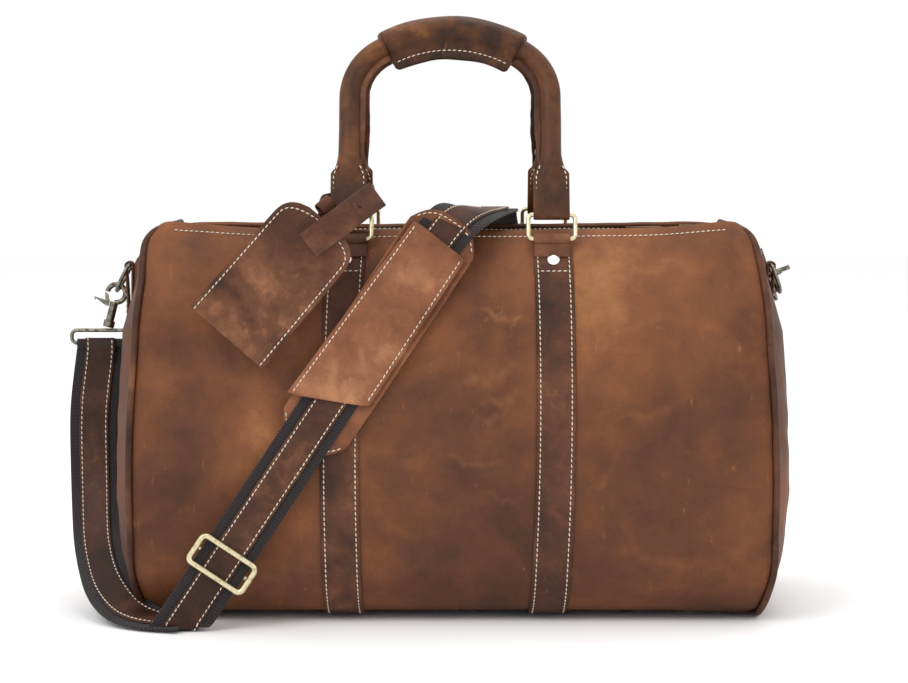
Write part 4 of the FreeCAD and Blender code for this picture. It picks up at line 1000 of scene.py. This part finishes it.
pull_line = np.stack([pull_x, pull_x * 0, 291.4 + 0.2 * np.sin(pull_x / 6)], 1)
pull_wide = np.broadcast_to([0, 1.0, 0], pull_line.shape)
pull_taper = np.stack([1 - 0.35 * smooth_step(pull_x, 141, 137), np.ones(40)], 1)
tongue = sweep("zip_puller_tongue", pull_line, pull_wide, slab_profile(12, 2.3), scale=pull_taper)
dress(tongue, zip_leather, "trim_leather", "zip_pull", "zip_puller")

# ---- Shoulder strap ----------------------------------------------------------------------------
# Black cotton webbing 38 mm wide with a 23 mm strip of leather sewn along its outer face. It hangs
# from the left hook, turns on the floor, lies up the front, crosses the top and goes round the back.

LINE_START = np.array([-167.0, -137.0, 50.0])
ALONG = np.array([0.553693, 0.080908, 0.828781])
ACROSS = np.array([0.831507, 0.0, -0.555514])
OUTWARD = np.array([0.044946, -0.996722, 0.067276])


def on_line(distance):
    return LINE_START + ALONG * np.asarray(distance, float)[..., None]


def heading(degrees):
    return (np.cos(np.radians(degrees)), 0.0, np.sin(np.radians(degrees)))


HANGING_STOPS = (
    ((-272.8, 0, 198.1), heading(0)), ((-279, -3, 150), heading(1)), ((-277.5, -10, 98), heading(6)),
    ((-272, -45, 52), (0.9, 0.05, 0.42)), ((-260, -82, 27), (0.78, 0.25, 0.55)),
    ((-240, -112, 9), (0.7, 0.62, 0.25)), ((-215, -128, 5.6), (0.62, 0.75, 0.1)),
    ((-195, -132, 5.2), (0.6, 0.8, 0.05)),
)
LYING_STOPS = (
    (on_line(-96), -ACROSS), (on_line(302), -ACROSS), ((12, -96, 306.5), (-0.8, 0.3, 0.4)),
    ((25, -68, 307), (-0.85, 0.45, 0.1)),
    ((33, -25, 306), (-0.97, 0.2, 0)), ((35, 25, 306), (-1, 0, 0)), ((34, 75, 304), (-1, 0, 0)),
    ((37, 104, 288), (-1, 0.05, 0)), ((48, 128, 252), (-0.97, 0.1, 0.2)), ((72, 138, 210), (-0.85, 0, 0.5)),
    ((115, 142, 180), (-0.5, 0, 0.85)), ((165, 142, 172), (-0.1, 0, 1)), ((212, 137, 182), (0.2, 0, 1)),
    ((246, 122, 207), (0.4, -0.1, 1)), ((262, 92, 234), (0.3, 0, 1)),
    ((252.7, 72, 251.5), (-0.34, 0, 0.94)), ((252.7, 58, 254.5), (-0.34, 0, 0.94)),
)


def settle(stops, step=2.0, bell=13.0):
    """Even points along the stops and their width directions, each softened by a bell-shaped average."""
    middles = np.array([stop[0] for stop in stops], float)
    widths = np.array([np.asarray(stop[1]) / np.linalg.norm(stop[1]) for stop in stops])
    steps = np.r_[0, np.cumsum(np.linalg.norm(np.diff(middles, axis=0), axis=1))]
    spots = np.linspace(0, steps[-1], int(steps[-1] / step))
    both = np.stack([np.interp(spots, steps, column) for column in np.c_[middles, widths].T], 1)
    reach = int(3 * bell / step)
    kernel = np.exp(-0.5 * (np.arange(-reach, reach + 1) * step / bell) ** 2)
    kernel /= kernel.sum()
    start = 2 * both[:1] - both[reach:0:-1]
    end = 2 * both[-1:] - both[-2:-reach - 2:-1]
    padded = np.concatenate([start, both, end])
    soft = np.stack([np.convolve(column, kernel, "valid") for column in padded.T], 1)
    return soft[:, :3], soft[:, 3:], spots


CREASE = 6.4
CREASE_ROUND = 4.0


def fold_under(thing):
    """Bend what would lie below the floor back under the bag, round a crease along the floor."""
    count = len(thing.data.vertices)
    places = np.zeros(count * 3)
    thing.data.vertices.foreach_get("co", places)
    places = places.reshape(-1, 3) / MM
    local = places - LINE_START
    out = local @ OUTWARD
    flat = places - out[:, None] * OUTWARD
    past = CREASE - flat[:, 2]
    angle = np.clip(past / CREASE_ROUND, 0, np.pi / 2)
    beyond = np.clip(past - CREASE_ROUND * np.pi / 2, 0, None)
    y = flat[:, 1] + CREASE_ROUND - (CREASE_ROUND + out) * np.cos(angle) + beyond
    z = CREASE - (CREASE_ROUND + out) * np.sin(angle)
    low = (past > 0) & (local @ ALONG < 0)
    places[low, 1], places[low, 2] = y[low], z[low]
    thing.data.vertices.foreach_set("co", (places * MM).ravel())
    thing.data.update()


webbing_cloth = cloth("cotton_webbing", "110e0f", "3a3233", 0.0021, 0.0025)
strip_leather = waxed_leather("waxed_strap_strip", ("24140d", "371f14", "4a2c1d", "754c32"), patch=0.05,
                              seed=17.0, worn=False, rough=0.55)
WEBBING_WIDE, STRIP_WIDE, STRAP_LAYER, SEAM_FROM_MIDDLE = 38, 23, 1.7, 9.4
RUNS = (("hanging", HANGING_STOPS, ("strap_left", "strap_floor")),
        ("lying", LYING_STOPS, ("strap_front", "strap_top", "strap_back")))
for part, stops, spans in RUNS:
    middle, wide, run = settle(stops)
    way = frames_along(middle)
    wide -= way * np.sum(wide * way, 1, keepdims=True)
    wide /= np.linalg.norm(wide, axis=1, keepdims=True)
    back = np.cross(wide, way)
    edge_wave = 0.35 * np.sin(run / 19)[:, None]
    webbing = sweep(f"{part}_webbing", middle + back * (0.8 + edge_wave * 0.4), wide,
                    slab_profile(WEBBING_WIDE, STRAP_LAYER, edge=0.5))
    dress(webbing, webbing_cloth, "cotton_webbing", "bag", *spans)
    covered = slice(1, len(run)) if part == "hanging" else slice(0, len(run) - 12)
    over_fold = smooth_step(run, 14, 3)[:, None] * 3.4 if part == "hanging" else 0
    strip_middle = (middle - back * (0.9 + over_fold))[covered]
    strip_wide, strip_out = wide[covered], -back[covered]
    if part == "hanging":
        strip_middle = np.concatenate([strip_middle[:1] + [[0, -0.2, 9.5]], strip_middle])
        strip_wide, strip_out = (np.concatenate([rows[:1], rows]) for rows in (strip_wide, strip_out))
    strip = sweep(f"{part}_strip", strip_middle, strip_wide, slab_profile(STRIP_WIDE, STRAP_LAYER))
    dress(strip, strip_leather, "trim_leather", "bag")
    rows = [(strip_middle + strip_out * 1.05 + strip_wide * edge, strip_out)
            for edge in (-SEAM_FROM_MIDDLE, SEAM_FROM_MIDDLE)]
    seams = stitches(f"{part}_strip_stitching", rows, "bag")
    if part == "lying":
        for thing in (webbing, strip, seams):
            fold_under(thing)

FOLDS = (("left_strap_fold", (-272.79, 0, 201.43), (1.0, 0, 0), (0, 0, -1.0)),
         ("right_strap_fold", (252.736, 54.9, 254.482), (-0.34, 0, 0.94), (0, 1.0, 0)))
for name, centre, wide, down in FOLDS:
    centre, wide, down = (np.array(value) for value in (centre, wide, down))
    turn = np.linspace(0, 2 * np.pi, 40)[:, None]
    out = np.cross(wide / np.linalg.norm(wide), down)
    path = centre + 2.75 * (np.cos(turn) * down + np.sin(turn) * out)
    path = np.concatenate([path, [centre + down * 9 + out * 1.6]])
    dress(sweep(name, path, np.broadcast_to(wide, path.shape), slab_profile(37.6, 1.5)), webbing_cloth,
          "cotton_webbing", "bag")

# ---- Shoulder pad ------------------------------------------------------------------------------
# Two layers of paler leather with raw edges, one over the strap and a longer one under it, sewn
# together down both long sides. The strap slides between them.


def raw_edge_material():
    """The cut edge of the hide: orange-brown fibres, matt."""
    material, tree = new_material("raw_cut_edge")
    place = add(tree, "ShaderNodeTexCoord").outputs["Object"]
    fibre = add(tree, "ShaderNodeTexNoise", {"Vector": place, "Scale": 900, "Detail": 4}).outputs["Fac"]
    colour = mix_colour(tree, fibre, linear("5e3218"), linear("a86a3c"))
    shader = add(tree, "ShaderNodeBsdfPrincipled", {"Base Color": colour, "Roughness": 0.85})
    finish_material(tree, shader)
    return material


raw_edge = raw_edge_material()


def with_raw_edges(thing, thickness, offset=-1.0):
    thicken(thing, thickness, offset)
    thing.data.materials.append(raw_edge)
    thing.modifiers["thickness"].material_offset_rim = 1
    return thing


def strap_sheet(name, outline, lift, rows=70, columns=34):
    """A layer that lies along the strap's straight run. outline gives its left and right edges for shares
    of its length and the near and far end of each edge; lift gives its height above the strap."""
    share = np.linspace(0, 1, rows)[:, None]
    across = np.linspace(0, 1, columns)[None, :]
    left, right, near, far = outline(share, across)
    a = left + (right - left) * across
    d = near + (far - near) * share
    points = on_line(d) + ACROSS * a[..., None] + OUTWARD * lift(a, d)[..., None]
    thing = grid_object(name, points)
    return thing, a, d


pad_leather = waxed_leather("worn_pad_leather", ("52301f", "70432c", "88563a", "aa7653"), patch=0.07,
                            seed=20.0)


def top_outline(share, across):
    tip = 3.0 * np.abs(2 * across - 1) ** 10
    near, far = 130 + 25 * across + tip * 0.4, 288 - 3.5 * across - tip * 0.4
    return (-30 + 7.5 * share, 25.8 - 0.5 * share, near, far)


def under_outline(share, across):
    tip = 17 * np.abs(2 * across - 1) ** 3.2
    return (-26 + 0 * share, 29.3 + 0 * share, 104 + tip, 306 - tip)


def top_lift(a, d):
    edge = np.clip(np.abs(a + 1) / 27, 0, 1)
    curl = 1.6 * np.clip((150 - d) / 20, 0, 1) * np.clip((a + 30) / 20, 0, 1)
    return 4.6 - 2.4 * edge ** 4 + 0.5 * np.sin(d / 31 + a / 17) + curl


def under_lift(a, d):
    edge = np.clip(np.abs(a - 1.5) / 28, 0, 1)
    return -2.4 + 2.2 * edge ** 4 * smooth_step(d, 120, 150) * (1 - smooth_step(d, 280, 296)) \
        + 0.8 * smooth_step(d, 125, 105)


top_layer, pad_a, pad_d = strap_sheet("pad_top_layer", top_outline, top_lift)
paint(top_layer, "tone", 0.05 * ripples(np.stack([pad_a, pad_d], -1), 60, 81) + 0.03)
rubs = ripples(np.stack([pad_a * 0.6 + pad_d * 0.4, pad_d * 0.25], -1), 9, 83)
paint(top_layer, "scuff", np.clip(rubs - 0.9, 0, 1))
dress(top_layer, pad_leather, "pad_leather", "shoulder_pad", "pad_top")
with_raw_edges(top_layer, 2.2)
under_layer, under_a, under_d = strap_sheet("pad_under_layer", under_outline, under_lift)
paint(under_layer, "tone", 0.05 * ripples(np.stack([under_a, under_d], -1), 50, 85))
paint(under_layer, "scuff", under_a * 0)
dress(under_layer, pad_leather, "pad_leather", "shoulder_pad", "pad_under")
with_raw_edges(under_layer, 2.2)
pad_rows = []
share = np.linspace(0.015, 0.985, 120)
for edge, inset in ((0.0, 3.0), (1.0, -3.0)):
    left, right, near, far = top_outline(share, np.full(120, edge))
    a = (left if edge == 0 else right) + inset
    d = near + (far - near) * share
    pad_rows.append((on_line(d) + ACROSS * a[:, None] + OUTWARD * (top_lift(a, d) + 0.2)[:, None],
                     np.broadcast_to(OUTWARD, (120, 3))))
for near_end in (True, False):
    across = np.linspace(0.06, 0.94, 80)
    left, right, near, far = under_outline(np.full(80, 0.0), across)
    d = near + 3.2 if near_end else far - 3.2
    a = left + (right - left) * across
    pad_rows.append((on_line(d) + ACROSS * a[:, None] + OUTWARD * (under_lift(a, d) + 0.2)[:, None],
                     np.broadcast_to(OUTWARD, (80, 3))))
stitches("pad_stitching", pad_rows, "shoulder_pad")

# ---- End tabs ----------------------------------------------------------------------------------
# A strip of trim leather folded round each D-ring's straight bar and sewn down on the gusset.

for hand_name, way in (("left", -1), ("right", 1)):
    turn = np.radians(np.linspace(190, -20, 26))
    x = np.r_[-2.6, -2.4, -2.6, 2.9 * np.cos(turn), 1.8, 1.0, 1.2]
    z = np.r_[218, 236, 254, 262 + 2.9 * np.sin(turn), 250, 236, 219]
    path = along(np.stack([way * (250 + x), x * 0, z], 1), np.linspace(0, 1, 60))
    wides = np.broadcast_to([0, 1.0 * way, 0], path.shape)
    tab = sweep(f"{hand_name}_end_tab", path, wides, slab_profile(10.6, 1.9))
    dress(tab, band_leather, "trim_leather", "bag", f"end_tab_{hand_name}")
    z = np.linspace(220, 246, 20)
    outward = np.broadcast_to([1.0 * way, 0, 0], (20, 3))
    rows = [(np.stack([way * (250 + 2.3 + 0 * z), z * 0 + y, z], 1), outward) for y in (-3.9, 3.9)]
    stitches(f"{hand_name}_end_tab_stitching", rows, "bag")

# ---- Luggage tag -------------------------------------------------------------------------------
# One piece of leather folded at its lower end into two leaves, sewn on three sides. Its strap runs
# up to the handle's left tab, where a keeper loop holds it.

TAG_FOOT = np.array([-164.0, -128.5, 215.0])
TAG_ACROSS = np.array([np.cos(np.radians(40.8)), 0, -np.sin(np.radians(40.8))])
TAG_ALONG = np.array([np.sin(np.radians(40.8)), 0, np.cos(np.radians(40.8))])
TAG_OUT = np.array([0, -1.0, 0])


def tag_place(a, length, stand):
    """A point of the tag: a across, length up from its folded foot, stand out of its plane."""
    return TAG_FOOT + TAG_ACROSS * a[..., None] + TAG_ALONG * length[..., None] + TAG_OUT * stand[..., None]


def tag_half(length):
    """Half the tag's width: a slow taper, then a superellipse over the last 22 mm."""
    end = np.clip((length - 90) / 24, 0, 1)
    return (35 - 1.5 * length / 96) * (1 - end ** 3.2) ** (1 / 2.6)


def tag_bend(a, length):
    """How far the tag stands off its plane: bowed lengthwise, with a lifted lower right corner."""
    lifted = 1.2 * np.clip((a - 10) / 25, 0, 1) ** 2
    return 1.5 * np.sin(length / 114 * np.pi) + 0.5 * np.sin(a / 13) + lifted


tag_leather = waxed_leather("waxed_tag", ("331c12", "4c2c1c", "653f2a", "946243"), patch=0.05, seed=23.0)
run = np.concatenate([np.linspace(-113.8, -3, 50), np.linspace(-2.5, 2.5, 11), np.linspace(3, 113.8, 50)])
run = run[:, None]
across = np.linspace(-1, 1, 40)[None, :]
length = np.sqrt(run ** 2 + 2) - 1.0
length = np.clip(length, 0, 113.8)
a = across * tag_half(length)
stand = 1.9 * np.tanh(run / 2) + tag_bend(a, length)
tag_leaves = grid_object("tag_leaves", tag_place(a, length, stand))
length = np.broadcast_to(length, a.shape)
paint(tag_leaves, "tone", 0.07 * np.exp(-length / 22) + 0.04 * ripples(np.stack([a, length], -1), 40, 91))
paint(tag_leaves, "scuff", np.clip(ripples(np.stack([a, length * 0.4], -1), 8, 93) - 1.0, 0, 1))
dress(tag_leaves, tag_leather, "tag_leather", "tag", "tag_front", "tag_back")
with_raw_edges(tag_leaves, 1.7)
length = np.linspace(1, 92, 60)
tag_rows = []
turn = np.linspace(0, np.pi, 60)
inset = tag_half(length) - 3.2
crown = (tag_half(92) - 3.2) * np.cos(turn) * (1 + 0.06 * np.sin(2 * turn) ** 2)
sides = [(-inset, length), (inset, length), (crown, 92 + 18.2 * np.sin(turn) ** 0.8)]
for a, length in sides:
    stand = 1.9 + tag_bend(a, length) + 0.2
    line = tag_place(a, length, stand)
    tag_rows.append((line, np.broadcast_to(TAG_OUT, line.shape)))
stitches("tag_stitching", tag_rows, "tag")


def paint_evenly(thing, tone):
    """One tone and no scuffs all over a small piece."""
    count = len(thing.data.vertices)
    paint(thing, "tone", [tone] * count)
    paint(thing, "scuff", [0.0] * count)


tag_stops = ((-54, -96, 319.5), (-57, -103, 317.5), (-66, -118, 311), (-80, -134, 300),
             (-92, -136.5, 291.5), (-103, -136, 283))
tag_line = settle([(stop, (-0.6, 0, 0.8)) for stop in tag_stops], 1.0, 3.0)
tag_strap = sweep("tag_strap_tongue", tag_line[0], tag_line[1], slab_profile(21, 1.9))
dress(tag_strap, tag_leather, "tag_leather", "tag", "tag_strap")
paint_evenly(tag_strap, -0.03)
turn = np.linspace(0, 2 * np.pi, 90, endpoint=False)
ring_x = 19 * np.sign(np.cos(turn)) * np.abs(np.cos(turn)) ** 0.55
ring_y = 13 * np.sign(np.sin(turn)) * np.abs(np.sin(turn)) ** 0.55
front_share = smooth_step(-np.sin(turn), -0.4, 0.4)
ring_z = 319 + (0.2 + 0.42 * front_share) * (ring_x - 19)
ring_path = np.stack([-75 + ring_x, -76 + ring_y, ring_z], 1)
ring_wide = np.stack([-0.2 - 0.35 * front_share, 0 * turn, 0.9 + 0 * turn], 1)
keeper = sweep("tag_keeper", ring_path, ring_wide, slab_profile(15.5, 1.8), closed=True)
paint_evenly(keeper, -0.02)
dress(keeper, tag_leather, "tag_leather", "handle_front", "tag_loop")
roll_axis = np.array([0.62, 0.3, 0.55])
roll_axis /= np.linalg.norm(roll_axis)
roll_up = np.array([-0.66, 0, 0.75])
roll_side = np.cross(roll_axis, roll_up)
turn = np.linspace(-2.6, 3.1, 50)[:, None]
roll_radius = 4.6 + 0.35 * turn
roll_path = np.array([-93, -88, 311]) + roll_radius * (np.cos(turn) * roll_up + np.sin(turn) * roll_side)
roll_wide = np.broadcast_to(roll_axis, roll_path.shape)
roll_end = sweep("tag_strap_roll", roll_path, roll_wide, slab_profile(12, 1.5))
paint_evenly(roll_end, 0.02)
dress(roll_end, tag_leather, "tag_leather", "handle_front")
# The strap's punched hole is drawn as a thin near-black disc on the surface: painted shade standing in for
# the hole's depth.
HOLE = ((1.35, 0), (1.3, 0.2), (0.9, 0.26), (0.05, 0.1))
punched = turned_shape("tag_strap_hole", HOLE, [(-66.4, -119.4, 310.4)], [(0.1, -0.9, -0.45)], 16)
hole_shadow_leather = waxed_leather("painted_hole_shadow", ("0c0605", "140a07", "1d0f0a", "2a170f"), patch=0.02, seed=3.0,
                          worn=False)
dress(punched, hole_shadow_leather, "tag_leather", "tag")

# ---- Lining, pocket and board ------------------------------------------------------------------
# Brown-black cotton hung loose inside the leather, a slip pocket on the rear wall and a stiff board
# on the floor of the bag.

lining_cloth = cloth("plain_cotton_lining", "2a2420", "453d36", 0.0012, 0.0012)
for face, side in (("front", -1), ("back", 1)):
    share = np.linspace(0.05, share_at(268), 60)[:, None]
    x = np.linspace(-1, 1, 110)[None, :]
    x = x * (half_width(along(wall_line, share[:, 0])[:, 1][:, None], x) - 6)
    hang = -6.2 + 0.9 * ripples(np.stack(np.broadcast_arrays(x, share * 300), -1), 42, 97)
    points = wall_point(x, np.broadcast_to(share, x.shape), side, hang)
    lining = grid_object(f"{face}_lining", points, flip=side < 0,
                         uv=np.stack([points[..., 0], points[..., 2]], -1))
    dress(lining, lining_cloth, "lining_cotton", "bag")
    thicken(lining, 0.8, 0.0)
    if side < 0:
        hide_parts("lining_wrap")
for hand_name, way in (("left", -1), ("right", 1)):
    z = np.linspace(14, 262, 50)[:, None]
    reach = np.interp(z, wall_line[:, 1], wall_line[:, 0]) - 8
    y = np.linspace(-1, 1, 50)[None, :] * reach
    x = way * (half_width(z, way) - 5 + 0.8 * ripples(np.stack(np.broadcast_arrays(y, z), -1), 40, 99))
    lining = grid_object(f"{hand_name}_end_lining", np.stack(np.broadcast_arrays(x, y, z), -1),
                         flip=way > 0, uv=np.stack(np.broadcast_arrays(y, z), -1))
    dress(lining, lining_cloth, "lining_cotton", "bag")
    thicken(lining, 0.8, 0.0)
    if way < 0:
        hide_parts("lining_ends")
x, z = np.meshgrid(np.linspace(-95, 95, 60), np.linspace(55, 185, 40))
slack = 103.2 - 1.6 * smooth_step(z, 150, 185) * np.cos(x / 95 * np.pi / 2)
pocket = grid_object("slip_pocket", np.stack([x, slack, z], -1), uv=np.stack([x, z], -1))
dress(pocket, lining_cloth, "lining_cotton", "bag", "inner_pocket")
thicken(pocket, 1.2, 0.0)
x, y = np.meshgrid(np.linspace(-1, 1, 60), np.linspace(-1, 1, 30))
corner = 1 - 0.03 * (np.abs(x) ** 12 + np.abs(y) ** 12)
board = grid_object("stiff_board", np.stack([215 * x * corner, 76 * y * corner, 14.8 + 0 * x], -1),
                    uv=np.stack([215 * x, 76 * y], -1))
dress(board, cloth("covered_board", "1c1917", "332e2a", 0.002, 0.002), "base_board", "bag", "base_board")
thicken(board, 2)

# ---- Feet --------------------------------------------------------------------------------------
# Five domed feet of antique brass, riveted through the base and the board.

FOOT = ((0.05, 0.1), (3.6, 0.25), (6.2, 1.2), (7.6, 3.0), (8.0, 5.2), (7.7, 6.6), (8.0, 7.0), (8.0, 7.9))
foot_brass = metal("foot_antique_brass", "c8b98c", "7a6a41", 0.3)
spots = [(x, y, 0) for x in (-185, 185) for y in (-55, 55)]
corners = turned_shape("corner_foot_domes", FOOT, spots, [(0, 0, 1)] * 4)
dress(corners, foot_brass, "foot_brass", "bag", "corner_feet")
middle_foot = turned_shape("centre_foot_dome", FOOT, [(0, 0, 0)], [(0, 0, 1)])
dress(middle_foot, foot_brass, "foot_brass", "bag", "centre_foot")
